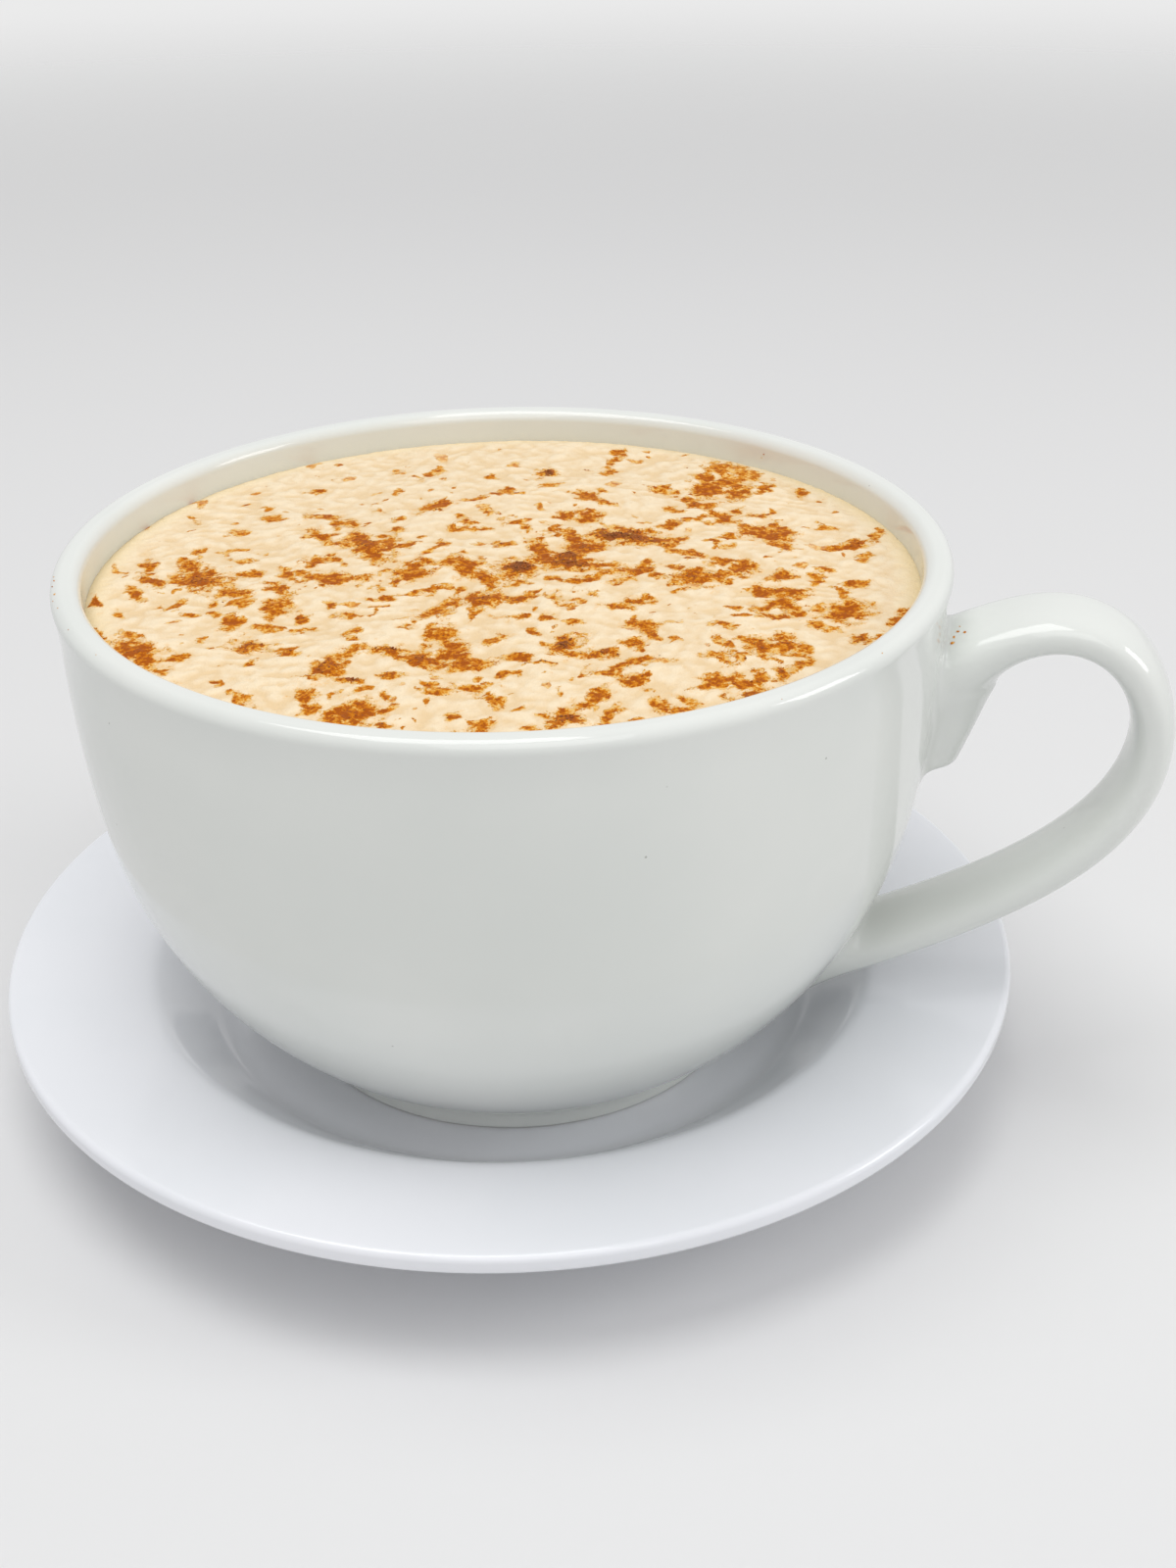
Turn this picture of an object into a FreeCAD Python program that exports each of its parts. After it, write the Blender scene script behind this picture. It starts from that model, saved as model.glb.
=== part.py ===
"""A latte in a wide round cup, standing on its saucer.

Three pieces, each a PartDesign body with its sizes in the sheet: the saucer, the porcelain cup
with its handle, and the drink that fills the cup. Millimetres, +Z up. The origin is the middle of
the saucer's foot ring, on the surface that it stands on. The cup's handle points along +X, turned
a little towards -Y.
"""
import FreeCAD, Part
import math
import os
import re

import Sketcher

SIZES = {
    # Cup: the wall's outside runs from the foot through a bowl arc and a side arc to the lip.
    "rim_radius": 57.5,
    "cup_height": 70.9,
    "cup_wall": 3.3,
    "rim_flare": 0.5,
    "flare_radius": 31.0,
    "lip_outer_radius": 1.5,
    "lip_inner_radius": 1.6,
    "side_radius": 147.0,
    "bowl_radius": 55.0,
    "foot_radius": 31.6,
    "foot_height": 2.6,
    "foot_width": 3.2,
    "foot_recess": 1.8,
    "cup_floor": 3.4,
    "floor_blend": 10.0,
    # Handle: its section, its turn about the cup, and the poles of its centre line.
    # Each pole has a reach out from the rim, and a drop from the rim or a rise from the foot;
    # the heel, inside the wall, is set in from midway between the foot ring and the rim instead.
    "handle_width": 13.0,
    "handle_thick": 5.5,
    "handle_end_radius": 2.0,
    "handle_turn": -13.5,
    "upper_flare": 0.06,
    "lower_flare": 0.12,
    "root_reach": -5.0,
    "root_drop": 17.0,
    "arch_reach": 15.8,
    "arch_drop": -3.8,
    "crown_reach": 29.5,
    "crown_drop": 5.2,
    "outer_reach": 31.7,
    "outer_rise": 45.6,
    "bend_reach": 32.3,
    "bend_rise": 36.2,
    "sweep_reach": 10.9,
    "sweep_rise": 23.4,
    "heel_inset": 9.65,
    "heel_rise": 9.2,
    # Tail of the handle, which runs down the cup's side from the upper root: four levels of it,
    # each with its drop from the rim, how far it stands proud of the cup's side, and its width.
    "tail_depth": 2.6,
    "tail_end_radius": 1.3,
    "tail_top_drop": 9.9,
    "tail_top_proud": 9.0,
    "tail_top_width": 13.6,
    "tail_bend_drop": 16.3,
    "tail_bend_proud": 6.3,
    "tail_bend_width": 13.0,
    "tail_low_drop": 20.6,
    "tail_low_proud": 4.7,
    "tail_low_width": 11.6,
    "tail_tip_drop": 25.6,
    "tail_tip_proud": 2.2,
    "tail_tip_width": 9.0,
    # Drink.
    "foam_drop": 4.3,
    "foam_crown": 1.2,
    "foam_edge": 1.2,
    "drink_gap": 0.05,
    # Saucer. Its well and its foot ring are wider than the cup's foot by a play each.
    "saucer_radius": 71.5,
    "saucer_height": 16.6,
    "edge_thick": 2.6,
    "edge_round": 0.9,
    "saucer_thick": 4.2,
    "well_floor": 6.2,
    "well_play": 10.6,
    "well_wall_run": 9.5,
    "shoulder_height": 14.15,
    "shoulder_round": 5.0,
    "crease_round": 6.0,
    "under_round": 5.0,
    "saucer_foot_play": 8.4,
    "saucer_foot_width": 3.5,
    "foot_round": 0.6,
    # Place of the cup in the saucer's well.
    "cup_shift_x": 0.8,
    "cup_shift_y": -3.8,
}

# Poles of the handle's centre line, from the upper root to the heel: reach and height, in the
# sheet's words.
HANDLE_POLES = [
    ("rim_radius + root_reach", "cup_height - root_drop"),
    ("rim_radius + arch_reach", "cup_height - arch_drop"),
    ("rim_radius + crown_reach", "cup_height - crown_drop"),
    ("rim_radius + outer_reach", "outer_rise"),
    ("rim_radius + bend_reach", "bend_rise"),
    ("rim_radius + sweep_reach", "sweep_rise"),
    ("( foot_radius + rim_radius ) / 2 - heel_inset", "heel_rise"),
]
HANDLE_STATIONS = 13
TAIL_LEVELS = ("top", "bend", "low", "tip")
FLARE_SPAN = 0.25
TOP_CLEARANCE = 2.0
SAME = 0.01


def make_sheet(doc):
    """The sheet of driving sizes, one aliased cell each."""
    sheet = doc.addObject("Spreadsheet::Sheet", "Sizes")
    for row, (alias, value) in enumerate(SIZES.items(), start=1):
        sheet.set(f"A{row}", alias.replace("_", " "))
        sheet.set(f"B{row}", str(value))
        sheet.setAlias(f"B{row}", alias)
    doc.recompute()
    return sheet


def from_sheet(words):
    """A formula in the sheet's words, as an expression that other objects can hold."""
    return re.sub(r"[a-z_]\w*",
                  lambda word: f"Sizes.{word[0]}" if word[0] in SIZES else word[0],
                  words)


def new_body(doc, label):
    """An empty body under its own label."""
    body = doc.addObject("PartDesign::Body", label)
    body.Label = label
    return body


def new_sketch(body, name, role):
    """A sketch on one of the body's own origin planes."""
    plane = next(item for item in body.Origin.OriginFeatures if item.Role == role)
    sketch = body.newObject("Sketcher::SketchObject", name)
    sketch.AttachmentSupport = [(plane, "")]
    sketch.MapMode = "FlatFace"
    return sketch


def point(across, up):
    """A point of a sketch."""
    return FreeCAD.Vector(across, up, 0)


class Outline:
    """Edges laid end to end in a sketch, with their joints and the sizes that hold them."""

    START, END, CENTRE = 1, 2, 3
    ORIGIN, X_AXIS, Y_AXIS = (-1, 1), -1, -2

    def __init__(self, sketch):
        self.sketch = sketch
        self.chain = []

    def line(self, start, end):
        """A straight edge, which joins the chain."""
        edge = self.sketch.addGeometry(Part.LineSegment(start, end), False)
        self.chain.append((edge, self.START, self.END))
        return edge

    def arc(self, centre, radius, start, end, clockwise=False, guide=False):
        """A round edge from start to end. A guide is for construction and stays out of the chain."""
        first, last = (end, start) if clockwise else (start, end)
        begin = math.atan2(first.y - centre.y, first.x - centre.x)
        finish = math.atan2(last.y - centre.y, last.x - centre.x)
        if finish < begin:
            finish += 2 * math.pi
        circle = Part.Circle(centre, FreeCAD.Vector(0, 0, 1), radius)
        edge = self.sketch.addGeometry(Part.ArcOfCircle(circle, begin, finish), guide)
        if not guide:
            ends = (self.END, self.START) if clockwise else (self.START, self.END)
            self.chain.append((edge, *ends))
        return edge

    def rule(self, kind, *places):
        """A geometric constraint."""
        return self.sketch.addConstraint(Sketcher.Constraint(kind, *places))

    def size(self, name, words, kind, *places_and_value):
        """A dimension that follows a formula of the sheet."""
        index = self.sketch.addConstraint(Sketcher.Constraint(kind, *places_and_value))
        self.sketch.renameConstraint(index, name)
        self.sketch.setExpression(f"Constraints.{name}", from_sheet(words))

    def across(self, name, words, place, value):
        """The distance of a point from the sketch's upright axis."""
        self.size(name, words, "DistanceX", *self.ORIGIN, *place, value)

    def height(self, name, words, place, value):
        """The height of a point above the sketch's level axis."""
        self.size(name, words, "DistanceY", *self.ORIGIN, *place, value)

    def join(self, smooth=()):
        """Closes the chain, with a tangent joint after each edge named in smooth."""
        for here, after in zip(self.chain, self.chain[1:] + self.chain[:1]):
            kind = "Tangent" if here[0] in smooth else "Coincident"
            self.rule(kind, here[0], here[2], after[0], after[1])


class CupShape:
    """The centres and joints of the cup wall's arcs, worked out from the sheet."""

    def __init__(self, sheet):
        size = {alias: float(sheet.get(alias)) for alias in SIZES}
        self.size = size
        self.top_radius = size["rim_radius"] - size["rim_flare"]
        leaning = size["flare_radius"] + size["lip_outer_radius"]
        self.flare_rise = math.sqrt(2 * leaning * size["rim_flare"] - size["rim_flare"] ** 2)
        self.flare_start = size["cup_height"] - size["lip_outer_radius"] - self.flare_rise
        self.wall_top = point(self.top_radius, self.flare_start)
        self.side_centre = self.wall_top - point(size["side_radius"], 0)
        self.foot_top = point(size["foot_radius"], size["foot_height"])
        self.bowl_centre = self.meet(self.foot_top, size["bowl_radius"], self.side_centre,
                                     size["side_radius"] - size["bowl_radius"])
        self.outward = (self.bowl_centre - self.side_centre).normalize()

    @staticmethod
    def meet(first, first_radius, second, second_radius):
        """The upper meeting point of two circles."""
        between = second - first
        gap = between.Length
        along = (gap ** 2 + first_radius ** 2 - second_radius ** 2) / (2 * gap)
        aside = math.sqrt(first_radius ** 2 - along ** 2)
        direction = between.normalize()
        return first + direction * along + point(direction.y, -direction.x) * aside

    def inner_wall(self, gap):
        """Where the inside of the wall turns, set in by a gap: floor, blend centre, and its joints."""
        size = self.size
        inset = size["cup_wall"] + gap
        floor = size["foot_recess"] + size["cup_floor"] + gap
        blend = size["floor_blend"] - gap
        bowl = size["bowl_radius"] - inset
        rise = self.bowl_centre.y - floor - blend
        blend_centre = point(self.bowl_centre.x + math.sqrt((bowl - blend) ** 2 - rise ** 2), floor + blend)
        away = (blend_centre - self.bowl_centre).normalize()
        return {
            "inset": inset,
            "floor": floor,
            "blend_centre": blend_centre,
            "floor_end": point(blend_centre.x, floor),
            "blend_end": self.bowl_centre + away * bowl,
            "bowl_end": self.side_centre + self.outward * (size["side_radius"] - inset),
            "side_end": point(self.top_radius - inset, self.flare_start),
        }


def revolve(body, sketch, name, kind="PartDesign::Revolution"):
    """A full turn of a sketch about its upright axis."""
    feature = body.newObject(kind, name)
    feature.Profile = sketch
    feature.ReferenceAxis = (sketch, ["V_Axis"])
    feature.Angle = 360
    return feature


def find_circles(shape, places):
    """The names of the full circles about the Z axis that lie at the places given as (radius, height)."""
    names = []
    for number, edge in enumerate(shape.Edges, start=1):
        if edge.Degenerated or not isinstance(edge.Curve, Part.Circle):
            continue
        for radius, height in places:
            if abs(edge.Curve.Radius - radius) < SAME and abs(edge.Curve.Center.z - height) < SAME:
                names.append(f"Edge{number}")
    return names


def round_circles(body, base, name, places, words):
    """A fillet on the circles at the places given."""
    fillet = body.newObject("PartDesign::Fillet", name)
    fillet.Base = (base, find_circles(base.Shape, places))
    fillet.setExpression("Radius", from_sheet(words))
    return fillet


def add_cup_outside(body, shape):
    """The cup as a full solid: the foot ring, the bowl, the side and the outside of the lip."""
    size = shape.size
    outline = Outline(new_sketch(body, "CupOutside", "XZ_Plane"))
    foot_inside = size["foot_radius"] - size["foot_width"]
    lip = size["lip_outer_radius"]
    lip_centre = point(size["rim_radius"] - lip, size["cup_height"] - lip)
    flare_centre = shape.wall_top + point(size["flare_radius"], 0)
    flare_end = flare_centre + (lip_centre - flare_centre).normalize() * size["flare_radius"]
    bowl_end = shape.side_centre + shape.outward * size["side_radius"]

    under = outline.line(point(0, size["foot_recess"]), point(foot_inside, size["foot_recess"]))
    ring_in = outline.line(point(foot_inside, size["foot_recess"]), point(foot_inside, 0))
    ring_base = outline.line(point(foot_inside, 0), point(size["foot_radius"], 0))
    ring_out = outline.line(point(size["foot_radius"], 0), shape.foot_top)
    bowl = outline.arc(shape.bowl_centre, size["bowl_radius"], shape.foot_top, bowl_end)
    side = outline.arc(shape.side_centre, size["side_radius"], bowl_end, shape.wall_top)
    flare = outline.arc(flare_centre, size["flare_radius"], shape.wall_top, flare_end, clockwise=True)
    lip_arc = outline.arc(lip_centre, lip, flare_end, lip_centre + point(0, lip))
    top = outline.line(lip_centre + point(0, lip), point(0, size["cup_height"]))
    axis = outline.line(point(0, size["cup_height"]), point(0, size["foot_recess"]))
    outline.join(smooth=(bowl, side, flare, lip_arc))

    for level in (under, ring_base, top):
        outline.rule("Horizontal", level)
    for upright in (ring_in, ring_out, axis):
        outline.rule("Vertical", upright)
    outline.rule("PointOnObject", under, Outline.START, Outline.Y_AXIS)
    outline.rule("PointOnObject", ring_base, Outline.START, Outline.X_AXIS)
    outline.rule("Horizontal", side, Outline.CENTRE, side, Outline.END)
    outline.height("recess", "foot_recess", (under, Outline.START), size["foot_recess"])
    outline.across("ring_inside", "foot_radius - foot_width", (ring_in, Outline.END), foot_inside)
    outline.across("ring_outside", "foot_radius", (ring_out, Outline.END), size["foot_radius"])
    outline.height("ring_top", "foot_height", (ring_out, Outline.END), size["foot_height"])
    outline.size("bowl", "bowl_radius", "Radius", bowl, size["bowl_radius"])
    outline.size("side", "side_radius", "Radius", side, size["side_radius"])
    outline.size("flare", "flare_radius", "Radius", flare, size["flare_radius"])
    outline.size("lip", "lip_outer_radius", "Radius", lip_arc, lip)
    outline.across("wall_top", "rim_radius - rim_flare", (side, Outline.END), shape.top_radius)
    outline.across("lip_centre", "rim_radius - lip_outer_radius", (lip_arc, Outline.CENTRE), lip_centre.x)
    outline.height("rim", "cup_height", (top, Outline.END), size["cup_height"])
    return revolve(body, outline.sketch, "CupSolid")


def add_inner_wall(outline, shape, gap_words, gap):
    """The inside of the cup's wall, from the floor's middle to the straight top, set in by a gap.

    Two guides repeat the outside's bowl and side arcs, and the inside's arcs share their centres.
    Returns the last arc and the edges that have a smooth joint after them.
    """
    size = shape.size
    inside = shape.inner_wall(gap)
    bowl_end = shape.side_centre + shape.outward * size["side_radius"]
    floor = outline.line(point(0, inside["floor"]), inside["floor_end"])
    blend = outline.arc(inside["blend_centre"], size["floor_blend"] - gap, inside["floor_end"],
                        inside["blend_end"])
    bowl = outline.arc(shape.bowl_centre, size["bowl_radius"] - inside["inset"], inside["blend_end"],
                       inside["bowl_end"])
    side = outline.arc(shape.side_centre, size["side_radius"] - inside["inset"], inside["bowl_end"],
                       inside["side_end"])
    bowl_guide = outline.arc(shape.bowl_centre, size["bowl_radius"], shape.foot_top, bowl_end, guide=True)
    side_guide = outline.arc(shape.side_centre, size["side_radius"], bowl_end, shape.wall_top, guide=True)

    outline.rule("Horizontal", floor)
    outline.rule("PointOnObject", floor, Outline.START, Outline.Y_AXIS)
    outline.rule("Tangent", bowl_guide, Outline.END, side_guide, Outline.START)
    outline.rule("Horizontal", side_guide, Outline.CENTRE, side_guide, Outline.END)
    outline.rule("Coincident", bowl, Outline.CENTRE, bowl_guide, Outline.CENTRE)
    outline.rule("Coincident", side, Outline.CENTRE, side_guide, Outline.CENTRE)
    outline.rule("Horizontal", side, Outline.CENTRE, side, Outline.END)
    outline.across("foot_edge", "foot_radius", (bowl_guide, Outline.START), size["foot_radius"])
    outline.height("foot_top", "foot_height", (bowl_guide, Outline.START), size["foot_height"])
    outline.across("wall_top", "rim_radius - rim_flare", (side_guide, Outline.END), shape.top_radius)
    outline.height("flare_start",
                   "cup_height - lip_outer_radius"
                   " - sqrt( 2 * ( flare_radius + lip_outer_radius ) * rim_flare - rim_flare ^ 2 )",
                   (side_guide, Outline.END), shape.flare_start)
    outline.size("bowl_outside", "bowl_radius", "Radius", bowl_guide, size["bowl_radius"])
    outline.size("side_outside", "side_radius", "Radius", side_guide, size["side_radius"])
    outline.size("bowl", f"bowl_radius - cup_wall - {gap_words}", "Radius", bowl,
                 size["bowl_radius"] - inside["inset"])
    outline.size("blend", f"floor_blend - {gap_words}", "Radius", blend, size["floor_blend"] - gap)
    outline.height("floor", f"foot_recess + cup_floor + {gap_words}",
                   (floor, Outline.START), inside["floor"])
    return inside["side_end"], (floor, blend, bowl, side)


def cut_cavity(body, shape):
    """The inside of the cup, with the inner round of the lip."""
    size = shape.size
    outline = Outline(new_sketch(body, "CupInside", "XZ_Plane"))
    wall_end, smooth = add_inner_wall(outline, shape, "0", 0.0)
    lip = size["lip_inner_radius"]
    lip_start = point(wall_end.x, size["cup_height"] - lip)
    lip_end = point(wall_end.x + lip, size["cup_height"])
    clear = size["cup_height"] + TOP_CLEARANCE
    straight = outline.line(wall_end, lip_start)
    lip_arc = outline.arc(lip_start + point(lip, 0), lip, lip_start, lip_end, clockwise=True)
    rise = outline.line(lip_end, point(lip_end.x, clear))
    top = outline.line(point(lip_end.x, clear), point(0, clear))
    axis = outline.line(point(0, clear), point(0, shape.inner_wall(0)["floor"]))
    outline.join(smooth=smooth + (straight,))
    outline.rule("Vertical", rise)
    outline.rule("Horizontal", top)
    outline.rule("Vertical", axis)
    outline.rule("Vertical", lip_arc, Outline.CENTRE, lip_arc, Outline.START)
    outline.size("lip", "lip_inner_radius", "Radius", lip_arc, lip)
    outline.height("rim", "cup_height", (rise, Outline.START), size["cup_height"])
    outline.height("clear", f"cup_height + {TOP_CLEARANCE}", (rise, Outline.END), clear)
    return revolve(body, outline.sketch, "CupCavity", "PartDesign::Groove")


def add_oval(sketch, half_width, half_thick, end_radius):
    """A flat oval of four tangent arcs about the sketch's origin, each size a pair of words and value."""
    width_words, width = half_width
    thick_words, thick = half_thick
    end_words, end = end_radius
    offset = width - end
    flank = (offset ** 2 + thick ** 2 - end ** 2) / (2 * (thick - end))
    turn = math.atan2(flank - thick, offset)
    reach = point(math.cos(turn), math.sin(turn)) * end
    right_up = point(offset, 0) + reach
    outline = Outline(sketch)
    right_down, left_up, left_down = (point(right_up.x * i, right_up.y * j)
                                      for i, j in ((1, -1), (-1, 1), (-1, -1)))
    right = outline.arc(point(offset, 0), end, right_down, right_up)
    upper = outline.arc(point(0, thick - flank), flank, right_up, left_up)
    left = outline.arc(point(-offset, 0), end, left_up, left_down)
    lower = outline.arc(point(0, flank - thick), flank, left_down, right_down)
    outline.join(smooth=(right, upper, left, lower))
    outline.rule("PointOnObject", right, Outline.CENTRE, Outline.X_AXIS)
    outline.rule("PointOnObject", left, Outline.CENTRE, Outline.X_AXIS)
    outline.rule("PointOnObject", upper, Outline.CENTRE, Outline.Y_AXIS)
    outline.rule("Equal", right, left)
    outline.size("end", end_words, "Radius", right, end)
    outline.across("end_centre", f"( {width_words} ) - ( {end_words} )", (right, Outline.CENTRE), offset)
    outline.size("flank", f"( ( ( {width_words} ) - ( {end_words} ) ) ^ 2 + ( {thick_words} ) ^ 2"
                 f" - ( {end_words} ) ^ 2 ) / ( 2 * ( ( {thick_words} ) - ( {end_words} ) ) )",
                 "Radius", upper, flank)


def bernstein(count, t):
    """The weights of a Bezier curve's poles at t."""
    degree = count - 1
    return [math.comb(degree, k) * t ** k * (1 - t) ** (degree - k) for k in range(count)]


def bernstein_slope(count, t):
    """The weights of a Bezier curve's poles in its direction at t."""
    lower = [0.0] + bernstein(count - 1, t) + [0.0]
    return [lower[k] - lower[k + 1] for k in range(count)]


def weighted(weights, words):
    """A formula for the weighted sum of the poles."""
    return " + ".join(f"( {weight:.9f} ) * ( {word} )" for weight, word in zip(weights, words))


def add_handle(body, shape):
    """The handle: one loft through flat ovals set square to its centre line."""
    size = shape.size
    reach_words = [reach for reach, height in HANDLE_POLES]
    height_words = [height for reach, height in HANDLE_POLES]
    sections = []
    for station in range(HANDLE_STATIONS):
        t = station / (HANDLE_STATIONS - 1)
        place = bernstein(len(HANDLE_POLES), t)
        slope = bernstein_slope(len(HANDLE_POLES), t)
        sketch = new_sketch(body, f"HandleSection{station}", "YZ_Plane")
        turn = f"atan2( {weighted(slope, height_words)} ; {weighted(slope, reach_words)} )"
        sketch.setExpression("AttachmentOffset", from_sheet(
            f"placement( vector( 0 ; {weighted(place, height_words)} ; {weighted(place, reach_words)} ) ;"
            f" rotation( vector( 1 ; 0 ; 0 ) ; - {turn} ) )"))
        upper = max(0.0, 1 - t / FLARE_SPAN) ** 2
        lower = max(0.0, 1 - (1 - t) / FLARE_SPAN) ** 2
        growth = 1 + size["upper_flare"] * upper + size["lower_flare"] * lower
        growth_words = f"( 1 + upper_flare * {upper:.9f} + lower_flare * {lower:.9f} )"
        add_oval(sketch,
                 (f"handle_width * {growth_words} / 2", size["handle_width"] * growth / 2),
                 (f"handle_thick * {growth_words} / 2", size["handle_thick"] * growth / 2),
                 ("handle_end_radius", size["handle_end_radius"]))
        sections.append(sketch)
    loft = body.newObject("PartDesign::AdditiveLoft", "Handle")
    loft.Profile = sections[0]
    loft.Sections = sections[1:]
    return loft


def add_tail(body, shape):
    """The tail that runs down the cup's side from the handle's upper root: one loft through level ovals."""
    size = shape.size
    sections = []
    for place in TAIL_LEVELS:
        sketch = new_sketch(body, f"TailSection{place.title()}", "XY_Plane")
        proud = size[f"tail_{place}_proud"]
        width = size[f"tail_{place}_width"]
        middle = f"rim_radius - rim_flare + ( tail_{place}_proud - tail_depth ) / 2"
        sketch.setExpression("AttachmentOffset", from_sheet(
            f"placement( vector( {middle} ; 0 ; cup_height - tail_{place}_drop ) ;"
            f" rotation( vector( 0 ; 0 ; 1 ) ; 90 ) )"))
        add_oval(sketch,
                 (f"tail_{place}_width / 2", width / 2),
                 (f"( tail_{place}_proud + tail_depth ) / 2", (proud + size["tail_depth"]) / 2),
                 ("tail_end_radius", size["tail_end_radius"]))
        sections.append(sketch)
    loft = body.newObject("PartDesign::AdditiveLoft", "Tail")
    loft.Profile = sections[0]
    loft.Sections = sections[1:]
    return loft


def make_cup(doc, shape):
    """The porcelain cup with its handle, in the saucer's well."""
    body = new_body(doc, "cup")
    add_cup_outside(body, shape)
    add_handle(body, shape)
    add_tail(body, shape)
    cut_cavity(body, shape)
    body.setExpression("Placement", from_sheet(
        "placement( vector( cup_shift_x ; cup_shift_y ; well_floor ) ;"
        " rotation( vector( 0 ; 0 ; 1 ) ; handle_turn ) )"))
    return body


def make_latte(doc, shape):
    """The drink, from the cup's floor to the foam's gently domed top."""
    size = shape.size
    body = new_body(doc, "latte")
    outline = Outline(new_sketch(body, "DrinkOutline", "XZ_Plane"))
    wall_end, smooth = add_inner_wall(outline, shape, "drink_gap", size["drink_gap"])
    edge_height = size["cup_height"] - size["foam_drop"]
    crown = size["foam_crown"]
    dome = (wall_end.x ** 2 + crown ** 2) / (2 * crown)
    edge = point(wall_end.x, edge_height)
    apex = point(0, edge_height + crown)
    outline.line(wall_end, edge)
    top = outline.arc(apex - point(0, dome), dome, edge, apex)
    axis = outline.line(apex, point(0, shape.inner_wall(size["drink_gap"])["floor"]))
    outline.join(smooth=smooth)
    outline.rule("Vertical", axis)
    outline.rule("PointOnObject", top, Outline.CENTRE, Outline.Y_AXIS)
    outline.height("edge", "cup_height - foam_drop", (top, Outline.START), edge_height)
    outline.height("apex", "cup_height - foam_drop + foam_crown", (top, Outline.END), apex.y)
    solid = revolve(body, outline.sketch, "Drink")
    doc.recompute()
    round_circles(body, solid, "FoamEdge", [(wall_end.x, edge_height)], "foam_edge")
    body.setExpression("Placement", from_sheet(
        "placement( vector( cup_shift_x ; cup_shift_y ; well_floor ) ; rotation( vector( 0 ; 0 ; 1 ) ; 0 ) )"))
    return body


def make_saucer(doc, shape):
    """The saucer: a wide rim, a round shoulder down to the flat well, and a foot ring."""
    size = shape.size
    body = new_body(doc, "saucer")
    outline = Outline(new_sketch(body, "SaucerOutline", "XZ_Plane"))
    foot_outside = size["foot_radius"] + size["saucer_foot_play"]
    foot_inside = foot_outside - size["saucer_foot_width"]
    thick = size["saucer_thick"]
    under = size["well_floor"] - thick
    crease = point(size["foot_radius"] + size["well_play"], size["well_floor"])
    shoulder = point(crease.x + size["well_wall_run"], size["shoulder_height"])
    wall = (shoulder - crease).normalize()
    knee_height = shoulder.y - thick
    skin = crease + point(wall.y, -wall.x) * thick
    knee = skin + wall * ((knee_height - skin.y) / wall.y)
    bend = skin + wall * ((under - skin.y) / wall.y)
    edge_top = point(size["saucer_radius"], size["saucer_height"])
    edge_base = edge_top - point(0, size["edge_thick"])
    corners = [point(0, under), point(foot_inside, under), point(foot_inside, 0), point(foot_outside, 0),
               point(foot_outside, under), bend, knee, edge_base, edge_top, shoulder, crease,
               point(0, size["well_floor"])]
    lines = [outline.line(a, b) for a, b in zip(corners, corners[1:] + corners[:1])]
    (middle, ring_in, ring_base, ring_out, flat, under_wall,
     under_rim, edge, rim, well_wall, floor, axis) = lines
    outline.join()
    for level in (middle, ring_base, flat, floor):
        outline.rule("Horizontal", level)
    for upright in (ring_in, ring_out, edge, axis):
        outline.rule("Vertical", upright)
    outline.rule("PointOnObject", middle, Outline.START, Outline.Y_AXIS)
    outline.rule("PointOnObject", ring_base, Outline.START, Outline.X_AXIS)
    outline.rule("Parallel", under_wall, well_wall)
    outline.height("underside", "well_floor - saucer_thick", (middle, Outline.START), under)
    outline.height("flat", "well_floor - saucer_thick", (flat, Outline.START), under)
    outline.across("foot_inside", "foot_radius + saucer_foot_play - saucer_foot_width",
                   (ring_base, Outline.START), foot_inside)
    outline.across("foot_outside", "foot_radius + saucer_foot_play", (ring_base, Outline.END), foot_outside)
    outline.height("knee", "shoulder_height - saucer_thick", (under_rim, Outline.START), knee_height)
    outline.size("skin", "saucer_thick", "Distance", under_wall, Outline.END, well_wall, thick)
    outline.across("edge_out", "saucer_radius", (edge, Outline.START), edge_top.x)
    outline.height("edge_top", "saucer_height", (edge, Outline.END), edge_top.y)
    outline.height("edge_base", "saucer_height - edge_thick", (edge, Outline.START), edge_base.y)
    outline.across("shoulder_out", "foot_radius + well_play + well_wall_run",
                   (well_wall, Outline.START), shoulder.x)
    outline.height("shoulder_up", "shoulder_height", (well_wall, Outline.START), shoulder.y)
    outline.across("crease_out", "foot_radius + well_play", (well_wall, Outline.END), crease.x)
    outline.height("floor_up", "well_floor", (floor, Outline.END), size["well_floor"])
    solid = revolve(body, outline.sketch, "SaucerSolid")
    doc.recompute()
    rounds = [
        ("Shoulder", [(shoulder.x, shoulder.y)], "shoulder_round"),
        ("Crease", [(crease.x, crease.y)], "crease_round"),
        ("Underside", [(knee.x, knee.y), (bend.x, bend.y)], "under_round"),
        ("Edge", [(edge_top.x, edge_top.y), (edge_base.x, edge_base.y)], "edge_round"),
        ("Foot", [(foot_inside, 0), (foot_outside, 0)], "foot_round"),
    ]
    feature = solid
    for name, places, words in rounds:
        feature = round_circles(body, feature, name, places, words)
        doc.recompute()
    return body


def check(doc, bodies):
    """Stops if any object failed or any body isn't one valid solid."""
    for item in doc.Objects:
        if "Invalid" in item.State or "Error" in item.State:
            raise RuntimeError(f"{item.Label} is {item.State}")
    for body in bodies:
        if body.Shape.isNull() or not body.Shape.isValid() or len(body.Shape.Solids) != 1:
            raise RuntimeError(f"{body.Label} isn't one valid solid")


def main():
    """Builds the three bodies and writes each as a STEP file under its label."""
    doc = FreeCAD.newDocument("Latte")
    sheet = make_sheet(doc)
    shape = CupShape(sheet)
    bodies = [make_saucer(doc, shape), make_cup(doc, shape), make_latte(doc, shape)]
    doc.recompute()
    check(doc, bodies)
    os.makedirs("parts", exist_ok=True)
    for body in bodies:
        body.Shape.exportStep(f"parts/{body.Label}.step")
        print(f"{body.Label}: {body.Shape.Volume / 1000:.1f} ml")


main()
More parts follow.
